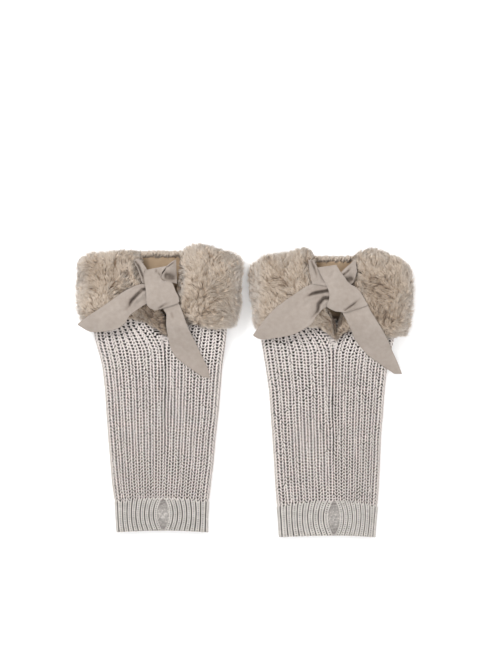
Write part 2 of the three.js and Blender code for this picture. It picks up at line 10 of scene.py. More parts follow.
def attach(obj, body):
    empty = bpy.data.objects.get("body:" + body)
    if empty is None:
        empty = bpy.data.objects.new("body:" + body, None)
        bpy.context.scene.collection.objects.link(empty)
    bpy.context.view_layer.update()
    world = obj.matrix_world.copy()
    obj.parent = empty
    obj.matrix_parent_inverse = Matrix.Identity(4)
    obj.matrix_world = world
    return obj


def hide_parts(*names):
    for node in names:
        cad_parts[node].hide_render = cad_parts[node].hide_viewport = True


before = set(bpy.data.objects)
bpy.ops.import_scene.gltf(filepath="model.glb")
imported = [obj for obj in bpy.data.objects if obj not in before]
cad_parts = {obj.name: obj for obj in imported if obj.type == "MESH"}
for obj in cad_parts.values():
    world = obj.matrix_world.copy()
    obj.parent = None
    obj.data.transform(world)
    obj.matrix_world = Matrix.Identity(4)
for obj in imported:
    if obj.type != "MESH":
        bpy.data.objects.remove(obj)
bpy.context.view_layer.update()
for loaded in bpy.context.selected_objects:
    loaded.select_set(False)

# Knitted legs
# Each leg is a tube of half-cardigan knit in a thick soft yarn, sewn down the centre front.
# The sewn edge draws the top down in a V, and the fur under the top lifts the tube's end.
# Sizes are in millimetres from the foot of each leg's seam, and PLACE is where that foot lies.
PLACE = {"left": (-96.1, -170.5), "right": (105.5, -176.5)}
RIBS = {-1: 9.5, 1: 8.5}
FOLD_RADIUS = 5.5
FOLD_ARC = 7.3
KNIT = {
    "left": {
        "rise": 5, "notch": 25, "notch_half": 18, "fan": (-15, 5), "half": [3.6] + [3.7] * 9, "edge": 1.7,
        "y": [37, 56, 85, 114, 143, 172, 200, 216, 232, 258],
        -1: [-61.5, -64.5, -67, -69.4, -71.6, -73.4, -76.6, -80.2, -84.4, -88],
        1: [53, 55.2, 58.8, 61.2, 64.6, 67, 69.2, 71.6, 73.6, 76],
        "seam": [-2.5, -1.5, -1, -0.5, 0, 0, 0, 0, 0, 0],
    },
    "right": {
        "rise": 8, "notch": 27, "notch_half": 20, "fan": (-16, 11), "half": [3.6] + [3.7] * 9, "edge": 1.7,
        "y": [37, 62, 91, 120, 149, 178, 206, 221, 236, 262],
        -1: [-67.6, -69.6, -71.2, -73.2, -75.2, -77.2, -81.4, -84, -86.4, -89],
        1: [54.6, 56.4, 57.8, 58.9, 61.2, 63.4, 66.4, 69.4, 73.2, 77],
        "seam": [1.7, 1, 0.6, 0.4, 0, 0, 0, 0, 0, 0],
    },
}
YARN_ROW = 3.75
PILLOW = 1.4
rng = np.random.default_rng(7)


def smooth(x, low, high):
    """0 below low, 1 above high, and an S between."""
    t = np.clip((x - low) / (high - low), 0, 1)
    return t * t * (3 - 2 * t)


def lift(y):
    """How far the fur under a leg lifts it off the surface."""
    return 10 * smooth(y, 196, 236)


def notch_drop(spec, x, y):
    """How far the sewn V draws the top edge down."""
    top = spec["y"][-1]
    return spec["notch"] * smooth(y, top - 86, top) * np.clip(1 - np.abs(x) / spec["notch_half"], 0, 1)


def tube_point(spec, rib, y, above=0.0, lens=0.0, drawn=True, column=None):
    """A point of a leg's front cloth: rib counts columns from the seam, y runs up the leg."""
    rib, y = np.broadcast_arrays(np.asarray(rib, float), np.asarray(y, float))
    side = np.where(rib < 0, -1, 1)
    seam = np.interp(y, spec["y"], spec["seam"])
    fold = np.where(side < 0, np.interp(y, spec["y"], spec[-1]), np.interp(y, spec["y"], spec[1]))
    fold = fold - side * spec["edge"]
    count = np.where(side < 0, RIBS[-1], RIBS[1])
    pitch = (np.abs(fold - seam) - lens) / count
    along = (count - np.abs(rib)) * pitch + FOLD_ARC - FOLD_RADIUS
    turn = np.clip(along / FOLD_ARC, -1, 1) * math.pi / 2
    inset = np.where(along < FOLD_ARC, FOLD_RADIUS * (1 - np.cos(turn)), along - FOLD_ARC + FOLD_RADIUS)
    x = fold - side * inset
    share = np.clip((x - seam) / (fold - seam), 0, 1)
    if spec["notch"]:
        fan = np.where(side < 0, spec["fan"][0], spec["fan"][1])
        fan = fan * np.clip((y - spec["y"][-1] + 42) / 30, 0, 1.1) ** 1.6
        place = share if column is None else np.abs(column) / count
        x = x + fan * smooth(place, 0, 0.045) * (1 - smooth(place, 0.06, 0.95))
    pillow = PILLOW * np.sin(math.pi * share) * (1 - 0.4 * share)
    near = 1 - smooth(y, spec["y"][0], spec["y"][0] + 60) if spec["notch"] else 1
    rise = np.interp(y, spec["y"], spec["rise"]) if np.ndim(spec["rise"]) else spec["rise"]
    yy = y + rise * near * (1 - share * share) - (notch_drop(spec, x - seam, y) if drawn else 0)
    half = np.interp(y, spec["y"], spec["half"]) if np.ndim(spec["half"]) else spec["half"]
    z = lift(yy) + half + (half + above + pillow) * np.sin(turn)
    return np.stack([x, yy, z], -1)


def frame_on(spec, rib, y, lens=0.0, drawn=True, column=None):
    """Point and outward direction of the front cloth."""
    rest = (0, lens, drawn, column)
    centre = tube_point(spec, rib, y, *rest)
    across = tube_point(spec, rib + 0.02, y, *rest) - tube_point(spec, rib - 0.02, y, *rest)
    upward = tube_point(spec, rib, y + 0.4, *rest) - tube_point(spec, rib, y - 0.4, *rest)
    outward = np.cross(across, upward)
    return centre, outward / np.linalg.norm(outward, axis=-1, keepdims=True)


def piece(name, leg, points, faces, material, uv=None, tone=None):
    """A mesh piece from points in a leg's millimetres."""
    points = np.asarray(points, float) + (*PLACE[leg], 0)
    faces = np.asarray(faces, np.int32)
    mesh = bpy.data.meshes.new(name)
    mesh.vertices.add(len(points))
    mesh.vertices.foreach_set("co", (points * 0.001).ravel())
    sides = faces.shape[1]
    mesh.loops.add(faces.size)
    mesh.loops.foreach_set("vertex_index", faces.ravel())
    mesh.polygons.add(len(faces))
    mesh.polygons.foreach_set("loop_start", np.arange(len(faces)) * sides)
    mesh.polygons.foreach_set("loop_total", np.full(len(faces), sides))
    mesh.polygons.foreach_set("use_smooth", np.ones(len(faces), bool))
    if uv is not None:
        mesh.uv_layers.new(name="cloth").data.foreach_set("uv", np.asarray(uv, np.float32).ravel())
    if tone is not None:
        layer = mesh.attributes.new("tone", "FLOAT", "POINT")
        layer.data.foreach_set("value", np.asarray(tone, np.float32).ravel())
    mesh.update()
    mesh.validate()
    made = bpy.data.objects.new(name, mesh)
    bpy.context.scene.collection.objects.link(made)
    mesh.materials.append(material)
    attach(made, "root")
    return made


def ring_faces(rings, count, start=0, flip=False):
    """Quads between closed rings that follow each other."""
    i = np.arange(count)
    j = (i + 1) % count
    k = np.arange(rings - 1)[:, None] * count + start
    quads = np.stack([k + i, k + j, k + count + j, k + count + i], -1).reshape(-1, 4)
    return quads[:, ::-1] if flip else quads


class Value:
    """A shader value that is worked with as a number is."""

    def __init__(self, paint, socket):
        self.paint = paint
        self.socket = socket

    def with_(self, operation, *others):
        return self.paint.add("ShaderNodeMath", {"operation": operation}, [self, *others])

    def __add__(self, other):
        return self.with_("ADD", other)

    def __sub__(self, other):
        return self.with_("SUBTRACT", other)

    def __mul__(self, other):
        return self.with_("MULTIPLY", other)

    def __rsub__(self, other):
        return self.paint.add("ShaderNodeMath", {"operation": "SUBTRACT"}, [other, self])

    __radd__ = __add__
    __rmul__ = __mul__


class Paint:
    """One material, built node by node."""

    def __init__(self, name, roughness, sheen=0.0, specular=0.3):
        self.material = bpy.data.materials.new(name)
        self.material.use_nodes = True
        self.tree = self.material.node_tree
        self.shader = self.tree.nodes["Principled BSDF"]
        self.shader.inputs["Roughness"].default_value = roughness
        self.shader.inputs["Sheen Weight"].default_value = sheen
        self.shader.inputs["Specular IOR Level"].default_value = specular

    def put(self, socket, value):
        if isinstance(value, Value):
            self.tree.links.new(value.socket, socket)
        else:
            socket.default_value = value

    def add(self, kind, settings=None, sockets=(), out=0):
        node = self.tree.nodes.new(kind)
        for key, value in (settings or {}).items():
            if key == "stops":
                ramp = node.color_ramp
                while len(ramp.elements) < len(value):
                    ramp.elements.new(0.5)
                for element, (place, colour) in zip(ramp.elements, value):
                    element.position = place
                    element.color = (*colour, 1)
            else:
                setattr(node, key, value)
        pairs = sockets.items() if isinstance(sockets, dict) else enumerate(sockets)
        for key, value in pairs:
            self.put(node.inputs[key], value)
        return Value(self, node.outputs[out])

    def tone(self):
        return self.add("ShaderNodeAttribute", {"attribute_name": "tone"}, (), "Fac")

    def uv(self):
        return self.add("ShaderNodeUVMap", {"uv_map": "cloth"})

    def place(self):
        return self.add("ShaderNodeTexCoord", {}, (), "Object")

    def noise(self, scale, detail=2.0, vector=None, rough=0.5):
        sockets = {"Scale": scale, "Detail": detail, "Roughness": rough}
        sockets["Vector"] = vector or self.place()
        return self.add("ShaderNodeTexNoise", {}, sockets, "Fac")

    def ramp(self, value, *stops):
        return self.add("ShaderNodeValToRGB", {"stops": stops}, {"Fac": value})

    def colour(self, value):
        self.put(self.shader.inputs["Base Color"], value)

    def bump(self, height, distance, strength=1.0):
        sockets = {"Height": height, "Distance": distance, "Strength": strength}
        self.put(self.shader.inputs["Normal"], self.add("ShaderNodeBump", {}, sockets))


def srgb(*levels):
    """A colour measured from 0 to 255, as the shader reads it."""
    return tuple(((v / 255 + 0.055) / 1.055) ** 2.4 for v in levels)


def yarn_paint(name, dark, light):
    paint = Paint(name, 0.95, 0.15, 0.15)
    uv = paint.uv()
    split = paint.add("ShaderNodeSeparateXYZ", {}, [uv])
    along = Value(paint, split.socket.node.outputs["Y"])
    twist = (along * 38 + split * 12.566).with_("SINE")
    fuzz = paint.noise(900, 3)
    tone = paint.tone() + fuzz * 0.35 - 0.17 + twist * 0.04
    paint.colour(paint.ramp(tone, (0.0, dark), (1.0, light)))
    paint.bump(twist * 0.5 + fuzz * 0.8, 0.0003, 0.8)
    return paint.material


def cloth_paint(name, dark, light, scale):
    """Knitted ground: painted dark as shade under the stitches, plain ribbed knit on the underside."""
    paint = Paint(name, 0.97, 0.1, 0.1)
    split = paint.add("ShaderNodeSeparateXYZ", {}, [paint.uv()])
    row = Value(paint, split.socket.node.outputs["Y"])
    zig = (split * 2 - 0.5).with_("PINGPONG", 1.0)
    chain = ((row + zig * 0.6) * 6.2832).with_("SINE")
    wale = (split * 12.566).with_("SINE")
    fuzz = paint.noise(scale, 3)
    knit = chain * 0.5 + wale * 0.8
    paint.colour(paint.ramp(paint.tone() + fuzz * 0.25 - 0.12 + knit * 0.06, (0.0, dark), (1.0, light)))
    paint.bump(knit + fuzz * 0.5, 0.0007, 0.7)
    return paint.material


YARN = yarn_paint("yarn", srgb(94, 84, 79), srgb(228, 219, 214))
# The ground's dark end is painted shade that shows in the holes between stitches; its light end is the yarn's own
# colour.
GROUND_SHADE_AND_KNIT = cloth_paint("knit ground", srgb(38, 31, 28), srgb(206, 197, 192), 500)


def yarn(path, wide, high, sides):
    """A short length of yarn along a path in the cloth, closed at both ends."""
    path = np.array(path, float)
    ahead = np.gradient(path[:, :2], axis=0)
    ahead /= np.linalg.norm(ahead, axis=1, keepdims=True)
    angle = np.arange(sides) / sides * 2 * math.pi + math.pi / sides
    rings = []
    for point, (ax, ay), w, h in zip(path, ahead, wide, high):
        off = np.cos(angle) * w
        rings.append(np.stack([point[0] - ay * off, point[1] + ax * off, point[2] + np.sin(angle) * h], -1))
    points = np.concatenate(rings)
    faces = [ring_faces(len(path), sides)]
    last = (len(path) - 1) * sides
    for i in range(1, sides - 2, 2):
        cap = np.array([[0, i, i + 1, i + 2]])
        faces += [cap[:, ::-1], cap + last]
    run = np.repeat(np.linspace(0, 1, len(path)), sides)
    uv = np.stack([np.tile(np.arange(sides) / sides, len(path)), run], -1)
    return points, np.concatenate(faces), uv


def lay_stitches(template, spec, ribs, ys, rise, lean, size, lens=0.0):
    """Copies of a stitch that follow the cloth; lean turns each in the cloth."""
    points, faces, uv = template
    n = len(ribs)
    local = points[None] * size[:, None, :]
    cl, sl = np.cos(lean)[:, None], np.sin(lean)[:, None]
    count = np.where(ribs < 0, RIBS[-1], RIBS[1])
    seam = np.interp(ys, spec["y"], spec["seam"])
    fold = np.where(ribs < 0, np.interp(ys, spec["y"], spec[-1]), np.interp(ys, spec["y"], spec[1]))
    pitch = (np.abs(fold - seam) - spec["edge"] - lens) / count
    rib = ribs[:, None] + (local[..., 0] * cl + local[..., 1] * sl) / pitch[:, None]
    up = ys[:, None] + local[..., 1] * cl - local[..., 0] * sl
    wide = np.broadcast_to(np.asarray(lens, float).reshape(-1, 1), rib.shape)
    base, outward = frame_on(spec, rib, up, wide, False, np.broadcast_to(ribs[:, None], rib.shape))
    out = base + outward * (rise[:, None] + local[..., 2])[..., None]
    quads = (faces[None] + np.arange(n)[:, None, None] * len(points)).reshape(-1, 4)
    return out.reshape(-1, 3), quads, np.tile(uv[faces.ravel()], (n, 1))


def columns():
    """The places of the rib crests across the front."""
    left = [-RIBS[-1] + q for q in range(10)]
    right = [RIBS[1] - q for q in range(9)]
    return np.array(left + right[::-1])


def knit_shell(name, leg, spec, rows, wall, lens_at, sink):
    """A ribbed tube with its inner wall: front, rounded folds and flat underside."""
    pitch = 6.5
    past = (FOLD_ARC - FOLD_RADIUS) / pitch
    ribs = np.concatenate([
        [-RIBS[-1] - past], np.linspace(-RIBS[-1], -0.08, 58), [0.0],
        np.linspace(0.08, RIBS[1], 52), [RIBS[1] + past]])
    above = sink - 0.5 * np.cos(2 * math.pi * (ribs - 0.5)) - 1.6 * np.exp(-((ribs / 0.16) ** 2))
    flat = np.linspace(0, 1, 26)
    rings, uvs, tones = [], [], []
    for y in rows:
        lens = lens_at(y)
        front = tube_point(spec, ribs, np.full(len(ribs), y), above, lens)
        low_l, low_r = front[0], front[-1]
        back_y = np.full(len(flat), y)
        left = np.interp(y, spec["y"], spec[-1]) + spec["edge"]
        right = np.interp(y, spec["y"], spec[1]) - spec["edge"]
        seam = np.interp(y, spec["y"], spec["seam"])
        x = right + (left - right) * flat
        x[0], x[-1] = right - 1.2, left + 1.2
        x[1], x[-2] = right - 3.2, left + 3.2
        t = np.where(x < seam, (x - seam) / (left - seam), (x - seam) / (right - seam))
        near = 1 - smooth(y, spec["y"][0], spec["y"][0] + 60) if spec["notch"] else 1
        rise = np.interp(y, spec["y"], spec["rise"]) if np.ndim(spec["rise"]) else spec["rise"]
        back_y = back_y + rise * near * (1 - t * t)
        z = lift(back_y) + 0.15
        z[0] += 1.6
        z[-1] += 1.6
        z[1] += 0.45
        z[-2] += 0.45
        back = np.stack([x, back_y, z], -1)
        row = y / YARN_ROW / 2
        across = np.concatenate([ribs * 0.5, RIBS[1] * 0.5 + 9 * flat])
        uvs.append(np.stack([across, np.full(len(across), row)], -1))
        in_lens = (np.abs(ribs) < 0.1) * (lens > 0)
        at_fold = (ribs < 0.01 - RIBS[-1]) | (ribs > RIBS[1] - 0.01)
        front[:, 2] += 2.0 * in_lens
        # Painted shade: the front ground under the stitches is toned dark, and the back's top edge is toned dark where
        # it shows in the open V.
        behind = 0.8 - 0.75 * (y > spec["y"][-1] - 10)
        tones.append(np.concatenate([0.5 * in_lens + 0.6 * at_fold - 0.04, np.full(len(back), behind)]))
        rings.append(np.concatenate([front, back]))
    count = len(rings[0])
    front_count = len(ribs)
    inner = []
    chosen = [0, *range(5, len(rings) - 1, 5), len(rings) - 1]
    for k in chosen:
        ring = rings[k].copy()
        left, right = ring[:, 0].min() + wall + 0.6, ring[:, 0].max() - wall - 0.6
        ring[:, 0] = np.clip(ring[:, 0], left, right)
        base = lift(ring[:, 1])
        ring[:front_count, 2] = base[:front_count] + wall + 1.0
        ring[front_count:, 2] = base[front_count:] + wall + 0.1
        inner.append(ring)
    outer_points = np.concatenate(rings)
    points = np.concatenate([outer_points, *inner])
    start = len(outer_points)
    faces = [ring_faces(len(rings), count), ring_faces(len(inner), count, start, True)]
    i = np.arange(count)
    j = (i + 1) % count
    last_o, last_i = (len(rings) - 1) * count, start + (len(inner) - 1) * count
    faces.append(np.stack([start + i, start + j, j, i], -1))
    faces.append(np.stack([last_o + i, last_o + j, last_i + j, last_i + i], -1))
    faces = np.concatenate(faces)[:, ::-1]
    uv_points = np.concatenate(uvs + [uvs[k] for k in chosen])
    # Painted shade: the inner wall is toned dark, as the shade inside the tube.
    tone = np.concatenate(tones + [np.full(count, 0.1)] * len(inner))
    return piece(name, leg, points, faces, GROUND_SHADE_AND_KNIT, uv_points[faces.ravel()], tone)


HALF_STITCH = [(3.38, 2.1, -0.15), (2.26, 1.5, 0.0), (1.78, 0.2, 0.25), (1.44, -1.1, 0.15)]
STITCH_PATH = HALF_STITCH + [(0, -1.6, 0.2)] + [(-x, y, z) for x, y, z in HALF_STITCH[::-1]]
STITCH_WIDE = [0.62, 0.76, 0.83, 0.76, 0.6, 0.76, 0.83, 0.76, 0.62]
STITCH = yarn(STITCH_PATH, STITCH_WIDE, STITCH_WIDE, 6)
for leg in ("left", "right"):
    spec = KNIT[leg]
    top = spec["y"][-1]
    levels = np.linspace(spec["y"][0], top - 0.2, 58)
    shell = knit_shell(f"knit_ground_{leg}", leg, spec, levels, 2.8, lambda y: 0.0, -1.8)
    ribs, drawn_y = np.meshgrid([*columns(), -0.2, 0.2], np.arange(spec["y"][0] + 0.5, top - 1.6, YARN_ROW))
    col = np.tile(np.arange(ribs.shape[1]), (ribs.shape[0], 1)).ravel()
    ribs, drawn_y = ribs.ravel(), drawn_y.ravel()
    bow = spec["rise"] * (1 - (ribs / np.where(ribs < 0, RIBS[-1], RIBS[1])) ** 2)
    ys = drawn_y
    for _ in range(8):
        ys = drawn_y - bow * (1 - smooth(ys, spec["y"][0], spec["y"][0] + 60))
    keep = (ys > spec["y"][0] - 1.9) & ((np.abs(ribs) > 0.3) | (ys > top - 42))
    ribs, ys, col, bow = ribs[keep], ys[keep], col[keep], bow[keep]
    squeeze = smooth(ys + 0.5, spec["y"][0], spec["y"][0] + 60) - smooth(ys - 0.5, spec["y"][0], spec["y"][0] + 60)
    squeeze = 1 - bow * squeeze
    settle = smooth(ys, spec["y"][0], spec["y"][0] + 25)
    ys = ys + settle * (1.0 * np.sin(col * 1.9 + (leg == "left")) + 0.6 * np.sin(ys * 0.045 + col * 0.8))
    there = tube_point(spec, ribs, ys, drawn=False)
    seam = np.interp(ys, spec["y"], spec["seam"])
    keep = ys < top - 2.2 - notch_drop(spec, there[:, 0] - seam, np.full(len(ys), top))
    ribs, ys, col, squeeze = ribs[keep], ys[keep], col[keep], squeeze[keep]
    n = len(ribs)
    is_seam = np.abs(ribs) < 0.3
    ys = ys + rng.normal(0, 0.14, n)
    ribs = ribs + 0.018 * np.sin(ys * 0.11 + col * 2.1) + rng.normal(0, 0.009, n)
    # The sewn seam shows as a dark line, so the columns beside it stand off a little
    beside = (np.abs(ribs) < 0.8) * ~is_seam * smooth(ys, 70, 125) * (1 - smooth(ys, top - 50, top - 30))
    ribs = ribs + (0.02 * np.sign(ribs) + 0.06 * np.sin(ys * 0.07 + (leg == "left"))) * beside
    size = np.stack([rng.normal(1, 0.03, n), rng.normal(1, 0.035, n), rng.normal(1, 0.05, n)], -1)
    size[:, 1] /= squeeze
    fold = np.where(ribs < 0, np.interp(ys, spec["y"], spec[-1]), np.interp(ys, spec["y"], spec[1]))
    pitch = (np.abs(fold - np.interp(ys, spec["y"], spec["seam"])) - spec["edge"])
    pitch = pitch / np.where(ribs < 0, RIBS[-1], RIBS[1])
    size[:, 0] *= np.where(is_seam, 0.1 + 0.45 * smooth(ys, top - 42, top - 26), pitch / 6.65)
    size[:, 0] *= 1 - 0.07 * beside
    size[:, 1] *= np.where(is_seam, 1, (pitch / 7.2) ** 0.5)
    lean = rng.normal(0, 0.05, n) + 0.04 * np.sin(ys * 0.13 + col)
    rise = np.where(is_seam, 0.1, 0.62) - 0.6 * (1 - smooth(ys, spec["y"][0], spec["y"][0] + 6))
    rise = rise + rng.normal(0, 0.06, n)
    points, faces, uv = lay_stitches(STITCH, spec, ribs, ys, rise, lean, size)
    # Painted shade: each stitch's yarn is toned darker where it dips low into the cloth.
    height_shade = np.tile(STITCH[0][:, 2], n)
    tone = np.repeat(0.7 + rng.normal(0, 0.06, n), len(STITCH[0])) + height_shade * 0.7
    # Painted shade: stitches along the sewn seam are toned darker, as the shade in the seam's furrow.
    off = points[:, 0] - np.interp(points[:, 1], spec["y"], spec["seam"])
    sewn = smooth(points[:, 1], 70, 125) * (1 - smooth(points[:, 1], top - 50, top - 30))
    tone = tone - 0.22 * sewn * np.exp(-((off / 1.4) ** 2))
    stitches = piece(f"knit_stitches_{leg}", leg, points, faces, YARN, uv, tone)
    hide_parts(f"leg_knit_{leg}")

# Ankle ribs
# A finer two-and-two rib in the same yarn holds each ankle, with small stitches in close rows.
# At the centre front the ribs part round a plain lens, where the knitting was shaped.
ANKLE = {
    "left": {
        "rise": [2, 2.7, 3.6, 4.4, 5], "notch": 0, "notch_half": 1, "edge": 1.0,
        "half": [3.1, 3.1, 3.1, 3.3, 3.75], "y": [0, 9, 20, 30, 37],
        -1: [-58.8, -59.6, -60, -60.6, -61.4],
        1: [51.6, 51.6, 51.8, 52.4, 53],
        "seam": [-2.5] * 5,
    },
    "right": {
        "rise": [2, 3.5, 5.2, 6.9, 8], "notch": 0, "notch_half": 1, "edge": 1.0,
        "half": [3.1, 3.1, 3.1, 3.3, 3.75], "y": [0, 9, 20, 30, 37],
        -1: [-64.8, -65.2, -65.8, -66.8, -67.6],
        1: [51.6, 52.2, 53, 54, 54.6],
        "seam": [1.7] * 5,
    },
}
ANKLE_ROW = 2.15
FINE_YARN = yarn_paint("ankle yarn", srgb(106, 100, 95), srgb(238, 232, 226))


def lens_half(y):
    """Half the width of the plain lens between the ribs, at a height up the ankle."""
    return 6.6 * np.sin(math.pi * np.clip(np.asarray(y) / 37, 0.04, 0.96)) ** 0.8


HALF_RIB = [(1.75, 1.25, -0.5), (1.62, 0.35, 0.05), (1.3, -0.5, 0.1)]
RIB_PATH = HALF_RIB + [(0, -0.95, -0.15)] + [(-x, y, z) for x, y, z in HALF_RIB[::-1]]
RIB_WIDE = [0.7, 0.98, 1.0, 0.72, 1.0, 0.98, 0.7]
RIB_STITCH = yarn(RIB_PATH, RIB_WIDE, [w * 0.8 for w in RIB_WIDE], 6)
BEAD = yarn([(-1, -0.25, -0.3), (-0.5, 0.1, 0.1), (0.5, 0.1, 0.1), (1, -0.25, -0.3)], [0.4, 0.8, 0.8, 0.4],
            [0.35, 0.6, 0.6, 0.35], 6)
for leg in ("left", "right"):
    spec = ANKLE[leg]
    levels = [0.0, *np.arange(1.2, 36, 2.2), 37.0]
    shell = knit_shell(f"ankle_ground_{leg}", leg, spec, levels, 2.2, lens_half, -1.2)
    ribs, ys = np.meshgrid(columns(), np.arange(1.0, 37.2, ANKLE_ROW))
    ribs, ys = ribs.ravel(), ys.ravel()
    lens = lens_half(ys)
    n = len(ribs)
    size = np.stack([rng.normal(1, 0.02, n), rng.normal(1, 0.04, n), rng.normal(1, 0.04, n)], -1)
    reach = np.where(ribs < 0, np.interp(ys, spec["y"], spec[-1]), np.interp(ys, spec["y"], spec[1]))
    reach = np.abs(reach - spec["seam"][0]) - spec["edge"] - lens
    size[:, 0] *= (0.88 if leg == "left" else 0.93) * reach / np.where(ribs < 0, RIBS[-1], RIBS[1]) / 5.2
    lean = rng.normal(0, 0.04, n)
    parts = [lay_stitches(RIB_STITCH, spec, ribs, ys, np.full(n, 0.55), lean, size, lens)]
    tones = [np.repeat(0.66 + rng.normal(0, 0.05, n), len(RIB_STITCH[0]))]
    across_lens, up_lens = np.meshgrid(np.linspace(-0.9, 0.9, 8), np.arange(1.2, 36.6, 1.5))
    beads = np.stack([across_lens.ravel(), up_lens.ravel()], -1)
    beads[:, 0] += 0.125 * (np.round((beads[:, 1] - 1.2) / 1.5) % 2)
    beads = beads[lens_half(beads[:, 1]) > 0.9]
    half = lens_half(beads[:, 1])
    n = len(beads)
    turn = rng.normal(0.55, 0.15, n)
    ct, st = np.cos(turn)[:, None], np.sin(turn)[:, None]
    bead = BEAD[0][None] * np.clip(half / 6.6, 0.35, 1)[:, None, None]
    x = spec["seam"][0] + (beads[:, 0] * half)[:, None] + bead[..., 0] * ct - bead[..., 1] * st
    y = (beads[:, 1] + np.interp(beads[:, 1], spec["y"], spec["rise"]))[:, None]
    z = 2 * np.interp(beads[:, 1], spec["y"], spec["half"])[:, None] + 0.95 + bead[..., 2]
    laid = np.stack([x, y + bead[..., 0] * st + bead[..., 1] * ct, z], -1).reshape(-1, 3)
    quads = (BEAD[1][None] + np.arange(n)[:, None, None] * len(BEAD[0])).reshape(-1, 4)
    parts.append((laid, quads, np.tile(BEAD[2][BEAD[1].ravel()], (n, 1))))
    tones.append(np.repeat(0.7 + rng.normal(0, 0.14, n), len(BEAD[0])))
    base = len(parts[0][0])
    points = np.concatenate([parts[0][0], parts[1][0]])
    faces = np.concatenate([parts[0][1], parts[1][1] + base])
    uv = np.concatenate([parts[0][2], parts[1][2]])
    stitches = piece(f"ankle_stitches_{leg}", leg, points, faces, FINE_YARN, uv, np.concatenate(tones))
    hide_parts(f"ankle_rib_{leg}")

# Cuff linings
# Behind the open front shows the back of the fur cloth, a smooth tan knitted backing.
# It lies flat on the back of the cuff, under the tie, as one plain strip.
LINING = {"left": (-70, 60, 262, 332), "right": (-70, 60, 266, 332)}
lining_paint = Paint("backing", 0.9, 0.2, 0.15)
weave = lining_paint.uv()
grain = lining_paint.add("ShaderNodeTexWave", {"wave_type": "BANDS"}, {"Vector": weave, "Scale": 1.0, "Distortion": 1.5})
cloudy = lining_paint.noise(60, 4)
lining_paint.colour(lining_paint.ramp(cloudy, (0.3, srgb(158, 134, 109)), (0.7, srgb(177, 154, 128))))
lining_paint.bump(grain + lining_paint.noise(1500, 2), 0.0002, 0.5)


def strip_faces(rings, count):
    """Faces of a thin closed strip whose rings run over the top and back under it."""
    faces = [ring_faces(rings, count)]
    half = count // 2
    i = np.arange(half - 1)
    low = np.stack([i, count - 1 - i, count - 2 - i, i + 1], -1)
    faces.append(low)
    faces.append(low[:, ::-1] + (rings - 1) * count)
    return np.concatenate(faces)


for leg in ("left", "right"):
    left, right, low, high = LINING[leg]
    xs = np.linspace(left, right, 66)
    ys = np.linspace(low, high, 34)
    rings = []
    for x in xs:
        wave = 0.25 * np.sin(x * 0.21 + ys * 0.07) + 0.15 * np.sin(x * 0.4)
        upper = np.stack([np.full(len(ys), x), ys, 10.75 + wave * 0.6], -1)
        under = upper[::-1].copy()
        under[:, 2] = 10.1
        rings.append(np.concatenate([upper, under]))
    points = np.concatenate(rings)
    faces = strip_faces(len(xs), len(rings[0]))
    lining = piece(f"lining_{leg}", leg, points, faces, lining_paint.material, points[faces.ravel()][:, :2] / 2.2)
    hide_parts(f"cuff_lining_{leg}")

